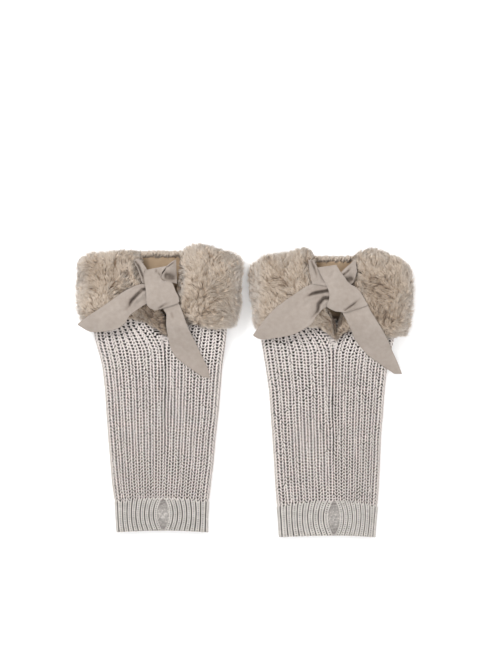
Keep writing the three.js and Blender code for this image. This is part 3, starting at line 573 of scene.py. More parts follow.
# Ribbon ties
# A wide matt ribbon is sewn behind each front end of the fur and tied once in front.
# Rows give the cloth's two edges (x, y, z) and how far it crowns between them; the cloth lies
# on whatever is below it. Creases are lines on the cloth with a depth, a width, and how far
# the cloth on the line's left side stands over the right side.
RIBBON_THICK = 1.1
TIES = {
    "left": {
        "tail_l": [
            ((-15, 296, 36.4), (-14, 276, 35.4), 0.4), ((-24.5, 298.5, 36), (-22.5, 274, 35.6), 1),
            ((-36, 295.4, 37.8), (-33, 267, 37), 1.4), ((-49.5, 288.4, 38.2), (-41, 261, 36.6), 1.6),
            ((-63, 278.6, 38), (-46.5, 252, 35), 1.8), ((-75.6, 270, 37.4), (-56, 245, 32.6), 1.8),
            ((-87, 262.6, 36), (-69, 242, 30.4), 1.6), ((-97, 256, 32.4), (-88, 241.4, 27.8), 1),
            ((-104, 250.4, 28.4), (-103, 249.2, 28.2), 0)],
        "tail_r": [
            ((-2, 279, 38.6), (13.5, 283, 37.4), 0.4), ((-1, 268.5, 36), (18.6, 272.5, 36.4), 0.8),
            ((2.4, 262, 36.6), (22, 264, 37.4), 1), ((2.4, 249, 34.4), (27, 250, 37), 1.4),
            ((4, 236, 26), (31.6, 239, 32.6), 1.4), ((6.6, 223, 19), (38, 226, 22.4), 1.4),
            ((12.5, 211.6, 14.4), (45, 211, 14.8), 1.2), ((27, 199.6, 11.6), (51, 198.6, 11.6), 0.8),
            ((44, 187.6, 10.6), (54, 185.4, 10.6), 0)],
        "root_l": [
            ((-36.2, 327.1, 26), (-30.6, 328.6, 26), 0), ((-34.3, 322.2, 30), (-25.8, 323, 30), 0.8),
            ((-31.7, 315.6, 33), (-21, 316.2, 33), 1.2), ((-28.8, 307.2, 34.4), (-18, 307.2, 34.4), 1),
            ((-26.4, 299.4, 34.6), (-16.8, 297.6, 34.6), 0.6)],
        "root_r": [
            ((-2.4, 313.8, 33), (-5.4, 306.6, 33.6), 0.4), ((1.2, 317.6, 32.4), (-0.6, 302.9, 33.2), 0.8),
            ((5.4, 321, 31.6), (4.8, 301, 33), 1.2), ((9.6, 324.6, 29.4), (10.2, 299.8, 30.5), 1.2),
            ((13.8, 327.6, 26.2), (15, 298.8, 27), 0.4)],
        "knot": [
            ((-22.2, 315, 34), (3, 320, 32.8), 0.4), ((-23.6, 308.4, 37), (-4.3, 308.9, 34.4), 1.2),
            ((-23.2, 300, 38.6), (-1.7, 302.9, 36), 1.8), ((-21.8, 291.6, 39.8), (8.8, 300, 36.8), 2.4),
            ((-21.1, 283.2, 40.1), (13.4, 290.4, 37.4), 2.6), ((-20.9, 275.5, 39.4), (17.5, 281.3, 37.4), 2.2),
            ((-18, 270.5, 38), (15.6, 275.3, 37), 1.4), ((-10.8, 266.5, 36.8), (-4.2, 268.6, 36.4), 0.4)],
    },
    "right": {
        "tail_l": [
            ((-2, 301, 38.2), (-2, 281, 37.2), 0.4), ((-13, 306, 37.8), (-8.6, 277.6, 37), 1),
            ((-30, 302.6, 39.6), (-20, 268.6, 38.4), 1.6), ((-44, 294, 40), (-27, 256.6, 36.8), 2),
            ((-60.6, 282.6, 39.8), (-46, 245, 33.4), 2), ((-74, 271.6, 38.6), (-66, 240.4, 30.6), 1.8),
            ((-87, 256.4, 34), (-86, 238.4, 28.6), 1), ((-96.2, 243.6, 29), (-95.4, 242.4, 28.8), 0)],
        "tail_r": [
            ((9, 279, 38.4), (31.5, 288, 37.4), 0.4), ((10.8, 268.8, 36), (38.6, 282, 36.6), 0.8),
            ((14.4, 262.6, 36.8), (41.6, 275.6, 38), 1), ((18.6, 254, 36.4), (47.4, 266, 38.4), 1.4),
            ((25, 239.4, 28), (54.6, 254.6, 37), 1.6), ((34, 227.4, 19), (64.6, 238, 27.6), 1.6),
            ((44, 217, 14.6), (71.4, 224, 16.4), 1.2), ((55, 209.4, 11.8), (78, 210.4, 11.6), 0.8),
            ((73.6, 197, 10.6), (83.4, 196.6, 9), 0)],
        "root_l": [
            ((-30.5, 333.1, 26), (-24.2, 332.6, 26), 0), ((-29.6, 326.4, 30), (-19.8, 325.2, 30), 0.8),
            ((-28.6, 318.6, 33), (-15.6, 316.8, 33), 1.2), ((-27.2, 311, 34.4), (-11.4, 308.6, 34.4), 1),
            ((-26, 304.6, 34.6), (-8.2, 301.6, 34.6), 0.6)],
        "root_r": [
            ((7.2, 316.8, 32.6), (13.2, 309.6, 33.6), 0.4), ((12, 321.6, 31.6), (17.4, 305.3, 33.2), 0.8),
            ((16.8, 326, 31.6), (21, 304.6, 33), 1.2), ((21.6, 330, 29.6), (24.6, 309.6, 30.6), 1),
            ((25.8, 332.4, 27), (27.4, 319.2, 28), 0.4)],
        "knot": [
            ((-19.2, 324, 33.6), (3, 327.2, 32.6), 0.4), ((-16.2, 316.8, 36.4), (7.2, 319.8, 34.6), 1.2),
            ((-12, 308.4, 38.2), (11.4, 314.2, 36.2), 1.8), ((-7.9, 300, 39.6), (18, 305.3, 37.4), 2.2),
            ((-5.8, 292.8, 40.3), (26.4, 300, 38.2), 2.6), ((-6, 286.2, 40.3), (33.1, 292.1, 38.4), 2.6),
            ((-7.9, 280.6, 39.4), (37.4, 283.7, 38.2), 2.2), ((-7.9, 276.7, 38.4), (37.7, 278.4, 37.8), 1.4),
            ((1.2, 271.7, 37), (14.4, 270.2, 37), 0.4)],
    },
}
CREASES = {
    "left": {
        "tail_l": [
            ([(-20, 292), (-26, 291), (-32.4, 284.4), (-38.4, 278.4), (-40.8, 272.4), (-44.4, 268)], 3.0, 1.7, 1.6),
            ([(-22, 281), (-29, 277), (-36, 271)], 0.8, 2.4, 0), ([(-45, 268), (-58, 262), (-72, 256)], 0.7, 4, 0),
            ([(-24, 296.5), (-36, 291), (-46, 283)], 0.8, 2.2, 0), ([(-60, 272), (-74, 264), (-86, 256)], 0.6, 3, 0)],
        "tail_r": [
            ([(1, 262), (6, 250), (9, 238)], 0.8, 2.6, 0), ([(14, 268), (18, 254), (20, 240), (26, 226)], 1.0, 3, 0),
            ([(8, 266), (11, 256)], 1.1, 1.6, 0), ([(20, 218), (32, 206)], 0.6, 4, 0)],
        "root_l": [([(-35.4, 327), (-30, 319.2), (-25.4, 307.8), (-23, 300)], 2.2, 1.1, 0.8)],
        "root_r": [
            ([(-4.2, 309.6), (2.4, 318.6)], 1.8, 1.1, 0.8), ([(2.4, 317.4), (13.2, 325.8)], 1.4, 0.9, 0),
            ([(-1, 308), (8, 307), (16, 305)], 3.4, 4.2, 0)],
        "knot": [
            ([(-9.6, 317), (-9.4, 313), (-8.4, 311)], 1.6, 1.1, 0), ([(-8.4, 313), (-3, 306.6)], 1.3, 1.0, 0),
            ([(-3, 306), (1.2, 300), (6, 297.5)], 0.9, 1.4, 0), ([(-10.8, 290), (-16.8, 281), (-17.4, 273)], 0.6, 2.6, 0),
            ([(-14, 309), (-17, 300), (-15, 290)], 0.5, 2.6, 0), ([(-4, 294), (-2, 284), (4, 277)], 0.5, 3, 0),
            ([(-8, 268), (-2.4, 272), (2.4, 274.4), (7, 275)], 1.4, 1.1, 0)],
    },
    "right": {
        "tail_l": [
            ([(-4, 296.4), (-13, 295), (-24, 292.8), (-34, 288)], 3.0, 1.7, 1.0),
            ([(-4, 286.8), (-12, 287), (-18, 280), (-19, 272), (-26, 264)], 3.0, 1.8, 1.0),
            ([(-8, 300), (-24, 299.5), (-40, 292)], 0.8, 1.8, 0), ([(-36, 282), (-52, 272), (-68, 260)], 0.8, 4, 0),
            ([(-24, 287), (-34, 278), (-44, 266)], 0.7, 2.6, 0)],
        "tail_r": [
            ([(14, 266), (24, 252), (34, 240)], 0.9, 2.6, 0), ([(26, 272), (38, 258), (48, 244)], 1.0, 3, 0),
            ([(52, 226), (62, 214)], 0.6, 4, 0)],
        "root_l": [([(-27.4, 334), (-22.4, 322), (-19, 310)], 1.4, 1.2, 0.6)],
        "root_r": [([(9, 313.6), (15.6, 318.6), (21, 324.5)], 1.6, 1.2, 0.8), ([(12, 308.5), (18, 309), (25, 314)], 3.0, 3.4, 0)],
        "knot": [
            ([(1.8, 322), (-4.2, 312), (-5.4, 302.4)], 0.8, 1.6, 0), ([(6, 300), (16, 296), (26, 296)], 0.5, 3, 0),
            ([(10.8, 271.8), (20.4, 278.4), (31, 286.6)], 1.6, 1.1, 0.6), ([(2, 290), (8, 280), (12, 273)], 0.5, 3, 0),
            ([(12, 268.8), (22.8, 272.6), (34, 277)], 1.2, 1.2, 0), ([(8, 312), (4, 304), (6, 294)], 0.5, 2.6, 0)],
    },
}
ribbon_paint = Paint("ribbon", 0.72, 0.25, 0.25)
threads = ribbon_paint.add("ShaderNodeSeparateXYZ", {}, [ribbon_paint.uv()])
weft = (threads * 6.2832 * 0.9).with_("SINE")
warp = (Value(ribbon_paint, threads.socket.node.outputs["Y"]) * 6.2832 * 1.3).with_("SINE")
slub = ribbon_paint.noise(220, 3)
ribbon_tone = slub * 0.5 + ribbon_paint.noise(45, 2) * 0.5 + (weft + warp) * 0.035
# The tone attribute pulls the ribbon toward the dark stop as painted shade in its creases.
ribbon_paint.colour(ribbon_paint.ramp(
    ribbon_tone * 0.8 + ribbon_paint.tone() * 0.5 - 0.3, (0.0, srgb(80, 68, 58)), (0.36, srgb(150, 138, 128)),
    (0.84, srgb(173, 162, 153))))
ribbon_paint.bump(weft * 0.5 + warp * 0.5 + slub * 1.2, 0.00022, 0.6)


def fine_rows(rows, steps):
    """More rows on smooth curves through the given ones."""
    table = np.array([[*a, *b, crown] for a, b, crown in rows], float)
    out = []
    for k in range(len(table) - 1):
        p, q, r, s = table[max(k - 1, 0)], table[k], table[k + 1], table[min(k + 2, len(table) - 1)]
        for t in np.arange(steps) / steps:
            out.append(0.5 * (2 * q + (r - p) * t + (2 * p - 5 * q + 4 * r - s) * t * t
                              + (3 * q - p - 3 * r + s) * t ** 3))
    return np.array([*out, table[-1]])


def tree_of(node):
    """A solid to lay cloth on."""
    mesh = node.data
    points = [v.co for v in mesh.vertices]
    return BVHTree.FromPolygons(points, [p.vertices[:] for p in mesh.polygons])


def height_of(trees, x, y):
    """The height in millimetres of the uppermost surface at a point, or -1."""
    start = Vector((x * 0.001, y * 0.001, 0.2))
    hits = [tree.ray_cast(start, Vector((0, 0, -1)))[0] for tree in trees]
    return max([h.z * 1000 for h in hits if h is not None], default=-1.0)


def press_in(grid, creases):
    """How far creases raise or lower each point of a cloth, and how much painted shade darkens it."""
    sink, shade = np.zeros(grid.shape[:2]), np.zeros(grid.shape[:2])
    for line, depth, wide, step in creases:
        line = np.array(line, float)
        edge = line[1:] - line[:-1]
        size = np.linalg.norm(edge, axis=1)
        start = np.concatenate([[0], np.cumsum(size)])
        nearest = np.full(grid.shape[:2], 1e9)
        off, along = np.zeros(grid.shape[:2]), np.zeros(grid.shape[:2])
        for k in range(len(edge)):
            away = grid[..., :2] - line[k]
            t = np.clip((away * edge[k]).sum(-1) / size[k] ** 2, 0, 1)
            rest = away - t[..., None] * edge[k]
            far = np.linalg.norm(rest, axis=-1)
            side = np.sign(edge[k][0] * away[..., 1] - edge[k][1] * away[..., 0])
            closer = far < nearest
            nearest = np.where(closer, far, nearest)
            off = np.where(closer, far * side, off)
            along = np.where(closer, start[k] + t * size[k], along)
        fade = smooth(along, -0.1, 3) * (1 - smooth(along, 0.55 * start[-1], start[-1]) * 0.8)
        groove = -depth * np.exp(-((off / wide) ** 2))
        lips = 0.35 * depth * np.exp(-(((np.abs(off) - 2.1 * wide) / (1.3 * wide)) ** 2))
        over = step * smooth(off, 0, 0.9 * wide) * np.exp(-((off / (6 * wide)) ** 2)) * (off > 0)
        sink += fade * (groove + lips + over)
        low_side = 0.5 * min(step, 1) * np.exp(-((off / (2.6 * wide)) ** 2)) * (off < 0)
        shade += fade * min(depth / 2, 1.3) * (np.exp(-((off / (1.1 * wide)) ** 2)) + low_side) * (depth > 1)
    return sink, shade


def lay_ribbon(name, leg, rows, creases, trees):
    """A strip of ribbon on what lies below it, with its creases pressed in."""
    px, py = PLACE[leg]
    span = max(math.hypot(r[0][0] - r[1][0], r[0][1] - r[1][1]) for r in rows)
    reach = sum(math.dist(q[0], r[0]) + math.dist(q[1], r[1]) for q, r in zip(rows, rows[1:])) / 2
    across = int(np.clip(span / 0.85, 17, 43))
    table = fine_rows(rows, int(np.clip(reach / (len(rows) - 1) / 0.95, 5, 22)))
    s = np.linspace(0, 1, across)
    a, b = table[:, None, :3], table[:, None, 3:6]
    grid = a + (b - a) * s[None, :, None]
    grid[..., 2] += table[:, 6:7] * np.sin(math.pi * s)
    width = np.linalg.norm(table[:, :3] - table[:, 3:6], axis=1)
    sink, shade = press_in(grid, creases)
    floor = np.array([[height_of(trees, p[0] + px, p[1] + py) for p in line] for line in grid])
    grid[..., 2] = np.maximum(grid[..., 2], floor + 0.5 + RIBBON_THICK)
    for _ in range(14):
        z = np.pad(grid[..., 2], 1, mode="edge")
        near = (z[:-2, 1:-1] + z[2:, 1:-1] + z[1:-1, :-2] + z[1:-1, 2:]) / 4
        grid[..., 2] = np.maximum(grid[..., 2], near)
    grid[..., 2] = np.maximum(grid[..., 2] + sink, floor + 0.3 + RIBBON_THICK)
    along = np.gradient(grid, axis=0)
    aside = np.gradient(grid, axis=1)
    normal = np.cross(aside, along)
    normal /= np.linalg.norm(normal, axis=-1, keepdims=True) + 1e-12
    normal *= np.sign(normal[..., 2:] + 1e-9)
    under = grid - normal * RIBBON_THICK
    rings = np.concatenate([grid, under[:, ::-1]], 1)
    points = rings.reshape(-1, 3)
    faces = strip_faces(len(table), 2 * across)
    lengths = np.concatenate([[0], np.cumsum(np.linalg.norm(np.diff(grid.mean(1), axis=0), axis=1))])
    u = np.concatenate([s, s[::-1]])[None] * width[:, None]
    v = np.broadcast_to(lengths[:, None], u.shape)
    uv = np.stack([u, v], -1).reshape(-1, 2)
    # Painted shade: the ribbon's top is toned darker in its deeper creases and on their low side.
    tone = 1 - np.clip(np.concatenate([shade, 0 * shade], 1).ravel(), 0, 1)
    made = piece(name, leg, points, faces, ribbon_paint.material, uv[faces.ravel()], tone)
    bpy.context.view_layer.objects.active = made
    bpy.ops.object.mode_set(mode="EDIT")
    bpy.ops.mesh.select_all(action="SELECT")
    bpy.ops.mesh.normals_make_consistent(inside=False)
    bpy.ops.object.mode_set(mode="OBJECT")
    wide = np.linalg.norm(np.diff(grid, axis=1), axis=-1).sum(1).max() / 1000
    long = np.linalg.norm(np.diff(grid, axis=0), axis=-1).sum(0).max() / 1000
    area = np.linalg.norm(np.cross(grid[1:, :-1] - grid[:-1, :-1], grid[:-1, 1:] - grid[:-1, :-1]), axis=-1).sum()
    return made, float(area) * 1e-6, float(wide), float(long)


ribbons = {}
for leg in ("left", "right"):
    trees = [tree_of(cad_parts[f"leg_knit_{leg}"]), tree_of(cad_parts[f"fur_cuff_{leg}"])]
    ribbons[leg] = []
    for part in ("tail_l", "tail_r", "root_l", "root_r", "knot"):
        made, area, wide, long = lay_ribbon(
            f"ribbon_{part}_{leg}", leg, TIES[leg][part], CREASES[leg][part], trees)
        trees.append(tree_of(made))
        ribbons[leg].append(made)
        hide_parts(f"tie_{part}_{leg}")

# Fur cuffs
# A band of faux rabbit fur goes round the top of each leg, its two ends apart at the front.
# The ground is the fur cloth, rounded as the pile holds it; locks of soft hair stand on it,
# lean over each other in whorls, and lie pressed where the ribbon crosses them.
# Rows: x at the bottom and top, how far the line between is an S, y at both, height, pile.
CUFF = {
    "left": [
        (3, -27, 1, 235, 334, 22.8, 6.5), (-2, -32, 1, 237, 339, 22.4, 11.5),
        (-13, -41, 0.8, 244, 341, 21.8, 14.5), (-30, -53, 0.4, 254, 340, 21.2, 12.5),
        (-50, -62, 0, 254, 338, 21.2, 16), (-68, -76, 0, 252, 337, 21.2, 16.5),
        (-84, -88, 0, 250, 336, 20.4, 15), (-92, -96.5, 0, 249, 331, 15.2, 12),
        (-84, -88, 0, 249, 333, 9.7, 11), (-60, -62, 0, 250, 335, 9.7, 11),
        (-30, -30, 0, 250, 336, 9.7, 11), (0, 0, 0, 250, 336, 9.7, 11),
        (28, 28, 0, 250, 336, 9.7, 11), (52, 53, 0, 250, 336, 9.7, 11),
        (72, 75, 0, 249, 334, 9.7, 11), (78.5, 84, 0, 246, 332, 15.2, 11.5),
        (72, 75, 0, 244, 339, 20.4, 15.5), (58, 62, 0, 243, 343, 21.2, 17.5),
        (42, 48, 0, 246, 346, 21.2, 18.5), (28, 36, 0.2, 248, 347, 21.2, 16.5),
        (16, 26, 0.5, 243, 343, 21.8, 13.5), (7, 18.5, 0.8, 237, 335, 22.8, 7.5)],
    "right": [
        (1, -21, 1, 238, 336, 22.8, 6.5), (-4, -27, 1, 241, 345, 22.4, 11.5),
        (-14, -37, 0.8, 248, 349, 21.8, 14.5), (-30, -49, 0.4, 251, 345, 21.2, 16),
        (-50, -62, 0, 250, 342, 21.2, 15), (-67, -75, 0, 248, 341, 21.2, 16.5),
        (-80, -84, 0, 247, 339, 20.4, 13.5), (-89.6, -90.6, 0, 247, 332, 16.6, 6.5),
        (-90, -94, 0, 249, 330, 12.2, 7), (-86, -90, 0, 251, 330, 9.6, 9.5),
        (-60, -62, 0, 254, 334, 9.7, 11), (-30, -30, 0, 254, 336, 9.7, 11),
        (0, 0, 0, 254, 336, 9.7, 11), (28, 28, 0, 254, 336, 9.7, 11),
        (52, 54, 0, 253, 336, 9.7, 11), (72, 77, 0, 249, 334, 9.7, 11),
        (84.5, 86, 0, 242, 329, 15.2, 10.5), (72, 77, 0, 239, 337, 20.4, 15),
        (58, 65, 0, 240, 342, 21.2, 16), (44, 52, 0, 247, 347, 21.2, 17),
        (30, 40, 0.4, 249, 347, 21.2, 15), (17, 30, 0.7, 245, 344, 21.8, 12.5),
        (7, 21, 1, 240, 336, 22.8, 7.5)],
}
OUTLINE_V = [0, 0.03, 0.11, 0.25, 0.42, 0.6, 0.76, 0.89, 0.97, 1]
OUTLINE_H = [0.22, 0.46, 0.74, 0.93, 1, 1, 0.98, 0.86, 0.62, 0.34]
FUR_STEPS = 6


def cuff_rows(leg):
    """The cuff's table with finer rows between, on the curves that its solid has."""
    table = np.array(CUFF[leg], float)
    out = []
    for k in range(len(table) - 1):
        p, q, r, s = table[max(k - 1, 0)], table[k], table[k + 1], table[min(k + 2, len(table) - 1)]
        for t in np.arange(FUR_STEPS) / FUR_STEPS:
            out.append(0.5 * (2 * q + (r - p) * t + (2 * p - 5 * q + 4 * r - s) * t * t
                              + (3 * q - p - 3 * r + s) * t ** 3))
    return np.array([*out, table[-1]])


def cuff_point(table, k, v, h, pull=0.0):
    """A point of the pile: k along the band, v across it, h of its pile out, pull back in."""
    index = np.arange(len(table))
    row = [np.interp(k, index, table[:, i]) for i in range(7)]
    xb, xt, bend, yb, yt, z, pile = row
    ahead = [np.interp(k + 1, index, table[:, i]) for i in (0, 1, 5)]
    behind = [np.interp(k - 1, index, table[:, i]) for i in (0, 1, 5)]
    tx = ahead[0] + ahead[1] - behind[0] - behind[1]
    tz = 2 * (ahead[2] - behind[2])
    size = np.hypot(tx, tz) + 1e-9
    tx, tz = tx / size, tz / size
    step = k / FUR_STEPS
    lump = 1 + 0.07 * np.sin(1.9 * step + 4.5 * v) + 0.05 * np.sin(3.1 * step - 8 * v + 1)
    out = h * np.maximum(pile - pull, 1.0) * lump
    share = v + bend * (smooth(v, 0.12, 0.75) - v)
    x = xb + (xt - xb) * share
    return np.stack([x + tz * out, yb + (yt - yb) * v, z - tx * out], -1)


# The ground's colour is the fur cloth's, painted darker as shade deep in the pile between the locks.
shaded_fur_ground = Paint("fur ground", 1.0, 0.0, 0.05)
mottle = shaded_fur_ground.noise(70, 3) * 0.6 + shaded_fur_ground.noise(400, 2) * 0.4
shaded_fur_ground.colour(shaded_fur_ground.ramp(mottle, (0.3, srgb(120, 101, 84)), (0.7, srgb(158, 138, 119))))
shaded_fur_ground.bump(shaded_fur_ground.noise(600, 3), 0.001, 0.8)
fur_paint = Paint("fur", 0.9, 0.3, 0.1)
patch = fur_paint.noise(28, 2)
strand = fur_paint.noise(700, 2)
fur_tone = fur_paint.tone() + patch * 0.1 - 0.05 + strand * 0.2 - 0.1
fur_paint.colour(fur_paint.ramp(
    fur_tone, (0.0, srgb(116, 97, 80)), (0.35, srgb(176, 156, 136)),
    (0.7, srgb(215, 199, 182)), (1.0, srgb(240, 229, 218))))
fur_paint.bump(strand, 0.0006, 0.5)


def swirl(x, y, seed):
    """A slow turning direction, for the way the hair lies."""
    phase = np.random.default_rng(seed).uniform(0, 6.28, 6)
    turn = 1.3 * np.sin(x * 0.055 + phase[0]) + 1.2 * np.sin(y * 0.075 + phase[1])
    turn += 0.9 * np.sin((x + y) * 0.11 + phase[2]) + 0.8 * np.sin((x - 1.3 * y) * 0.16 + phase[3])
    return turn + 0.5 * np.sin(x * 0.31 + phase[4]) * np.sin(y * 0.27 + phase[5])


def locks(root, normal, lay, length, tilt, width):
    """Tapering locks of hair, three-sided, that rise from the ground and lean over."""
    side = np.cross(lay, normal)
    side /= np.linalg.norm(side, axis=-1, keepdims=True) + 1e-9
    rise, reach = (length * np.cos(tilt))[:, None], (length * np.sin(tilt))[:, None]
    points = []
    for t, wide in ((0.0, 0.9), (0.55, 1.0)):
        spine = root + normal * rise * t ** 0.7 + lay * reach * t ** 1.35
        w = (width * wide)[:, None]
        face = normal * 0.6 - lay * 0.8 * t
        points += [spine + side * w * 0.5, spine - side * w * 0.5, spine - face * w * 0.55]
    points.append(root + normal * rise + lay * reach)
    one = [(0, 2, 1)]
    for i in range(3):
        j = (i + 1) % 3
        one += [(i, j, 3 + j), (i, 3 + j, 3 + i), (3 + i, 3 + j, 6)]
    faces = (np.array(one)[None] + np.arange(len(root))[:, None, None] * 7).reshape(-1, 3)
    return np.stack(points, 1), faces


def clump(root, lay, every):
    """For each lock, the lock that it gathers to; clumps are longer along the lay."""
    leads = np.arange(0, len(root), every)
    best = np.zeros(len(root), int)
    for start in range(0, len(root), 500):
        part = slice(start, start + 500)
        gap = root[part, None] - root[None, leads]
        along = (gap * lay[part, None]).sum(-1)
        far = (gap ** 2).sum(-1) - 0.72 * along ** 2
        best[part] = leads[far.argmin(1)]
    return best


LOCKS = {"flap_l": 8300, "flap_r": 9100, "band": 4300, "fringe": 1500, "ends": 800, "wisps": 850}
# Painted shade on the fur: round each spot (x, y, radius, depth) the locks are toned darker, under each knot and in
# patches on the flaps.
SHADED = {
    "left": [(-84, 311, 17, 0.2), (48, 282, 17, 0.09), (-19, 264, 17, 0.42), (0, 250, 11, 0.3)],
    "right": [(-64, 306, 17, 0.14), (56, 268, 19, 0.26), (46, 302, 18, 0.22), (70, 296, 14, 0.16), (2, 258, 15, 0.34)],
}
LIES_FROM = {"left": ((-70, 262), (40, 250)), "right": ((-62, 255), (62, 248))}
for leg in ("left", "right"):
    table = cuff_rows(leg)
    last = len(table) - 1
    px, py = PLACE[leg]
    # The ground, a closed rounded band
    v_out = np.linspace(0, 1, 19)
    h_out = np.interp(v_out, OUTLINE_V, OUTLINE_H)
    v_in = np.linspace(0.97, 0.03, 12)
    ring_v = np.concatenate([v_out, v_in])
    ring_h = np.concatenate([h_out, np.zeros(12)])
    shrink = 0.5 + (ring_v - 0.5) * 0.93
    rings = [cuff_point(table, np.full(len(ring_v), float(k)), shrink, ring_h, 6.5) for k in range(0, last + 1, 2)]
    for ring in rings:
        ring[:, 2] = np.maximum(ring[:, 2], 0.3)
    count = len(ring_v)
    points = np.concatenate(rings)
    faces = ring_faces(len(rings), count)
    tips = [rings[0].mean(0), rings[-1].mean(0)]
    points = np.concatenate([points, tips])
    quads = [faces]
    i = np.arange(count)
    j = (i + 1) % count
    for end, (base, tip) in enumerate(((0, len(points) - 2), ((len(rings) - 1) * count, len(points) - 1))):
        fan = np.stack([base + i, base + j, np.full(count, tip)], -1)
        fan = np.concatenate([fan, fan[:, 2:]], 1)
        quads.append(fan if end else fan[:, ::-1])
    tri = np.concatenate([quads[0][:, [0, 1, 2]], quads[0][:, [0, 2, 3]], quads[1][:, [1, 2, 3]], quads[2][:, [0, 1, 2]]])
    ground = piece(f"shaded_fur_ground_{leg}", leg, points, tri, shaded_fur_ground.material)
    bpy.context.view_layer.objects.active = ground
    bpy.ops.object.mode_set(mode="EDIT")
    bpy.ops.mesh.select_all(action="SELECT")
    bpy.ops.mesh.normals_make_consistent(inside=False)
    bpy.ops.object.mode_set(mode="OBJECT")
    # A map of the ribbon's height, so the hair below it stays below it
    trees = [tree_of(r) for r in ribbons[leg]]
    map_x = np.arange(-112, 106, 1.0)
    map_y = np.arange(178, 352, 1.0)
    press = np.array([[height_of(trees, x + px, y + py) for x in map_x] for y in map_y])
    # Where the locks stand: evenly over the pile's surface, fewer under the cuff
    ks = np.linspace(0, last, 4 * last)
    ps = np.linspace(0, 1, 61)
    vs = np.interp(ps, np.linspace(0, 1, 10), OUTLINE_V)
    hs = np.interp(ps, np.linspace(0, 1, 10), OUTLINE_H)
    kk, vv = np.meshgrid(ks, vs, indexing="ij")
    hh = np.broadcast_to(hs, kk.shape)
    surf = cuff_point(table, kk, vv, hh)
    dk = surf[1:, :-1] - surf[:-1, :-1]
    dp = surf[:-1, 1:] - surf[:-1, :-1]
    cross = np.cross(dp, dk)
    area = np.linalg.norm(cross, axis=-1)
    normal = cross / (area[..., None] + 1e-9)
    mid_k = ks[:-1, None] / last + 0 * vs[None, :-1]
    below = normal[..., 2] < -0.5
    is_band = (surf[:-1, :-1, 2] < 10) | below
    at_top = is_band & (vv[:-1, :-1] > 0.965) & (surf[:-1, :-1, 0] > -52) & (surf[:-1, :-1, 0] < 42)
    zone = {"flap_l": (~is_band) & (mid_k < 0.5), "flap_r": (~is_band) & (mid_k >= 0.5),
            "band": is_band, "fringe": at_top, "ends": (mid_k < 0.02) | (mid_k > 0.98),
            "wisps": (np.abs(normal[..., 2]) < 0.5) & (surf[:-1, :-1, 2] > 6)}
    for group, mask in zone.items():
        weight = area * mask * np.where(below & (group == "band"), 0.35, 1.0)
        total = np.cumsum(weight.ravel())
        n = LOCKS[group]
        picks = (rng.permutation(n) + rng.uniform(0, 1, n)) / n * total[-1]
        cell = np.searchsorted(total, picks)
        ci, cj = np.unravel_index(np.clip(cell, 0, weight.size - 1), weight.shape)
        root_top = surf[ci, cj] + dk[ci, cj] * rng.uniform(0, 1, (n, 1)) + dp[ci, cj] * rng.uniform(0, 1, (n, 1))
        out = normal[ci, cj]
        rim = (1 - np.clip(out[:, 2], 0, 1)) ** 1.5
        tilt = 0.95 - 0.4 * rim + rng.normal(0, 0.14, n)
        length = np.clip(12.0 + rng.normal(0, 1.5, n), 8, 16) * (0.8 if group == "band" else 1)
        turn = 0.42 * swirl(root_top[:, 0], root_top[:, 1], 11 if leg == "left" else 23)
        focus = np.array(LIES_FROM[leg][0 if group == "flap_l" else 1])
        away = root_top[:, :2] - focus
        if group in ("band", "fringe"):
            away = np.stack([0.3 * root_top[:, 0], root_top[:, 1] - 285], -1)
            turn = turn * 0.5
            length = np.where(np.full(n, group == "fringe"), 6.0, length)
        turn = turn + np.arctan2(away[:, 1], away[:, 0])
        lay = np.stack([np.cos(turn), np.sin(turn), np.zeros(n)], -1) + rng.normal(0, 0.16, (n, 3))
        if group == "fringe":
            root_top = root_top * (1, 1, 0) + np.stack([0 * turn, rng.uniform(-0.3, 1.6, n), rng.uniform(10, 13, n)], -1)
            out = np.tile((0.0, 0.25, 0.97), (n, 1))
            tilt = np.full(n, 1.25)
            lay = lay * (0.5, 1, 1) + (0, 0.7, 0) + rng.normal(0, 0.3, (n, 3))
        if group == "wisps":
            tilt = np.clip(rng.normal(0.6, 0.2, n), 0.2, 1.1)
            length = rng.uniform(7, 10, n)
        if group == "ends":
            side = np.where(mid_k[ci, cj] < 0.5, 1.0, -1.0)
            deep = rng.uniform(0.1, 1.0, n)[:, None]
            base = cuff_point(table, np.where(side > 0, 0.0, float(last)), vs[cj], 0 * side)
            root_top = base + (root_top - base) * deep + np.stack(
                [side * (1.5 + 3.2 * (1 - smooth(vs[cj], 0.1, 0.5))), 0 * side, 0 * side], -1)
            out = np.stack([side, 0 * side, 0.35 + 0 * side], -1) / 1.06
            lay = np.stack([0 * side, np.full(n, -0.8), 0.1 * side], -1) + rng.normal(0, 0.25, (n, 3))
            length = np.full(n, 9.0)
        lay -= out * (lay * out).sum(-1, keepdims=True)
        lay /= np.linalg.norm(lay, axis=-1, keepdims=True) + 1e-9
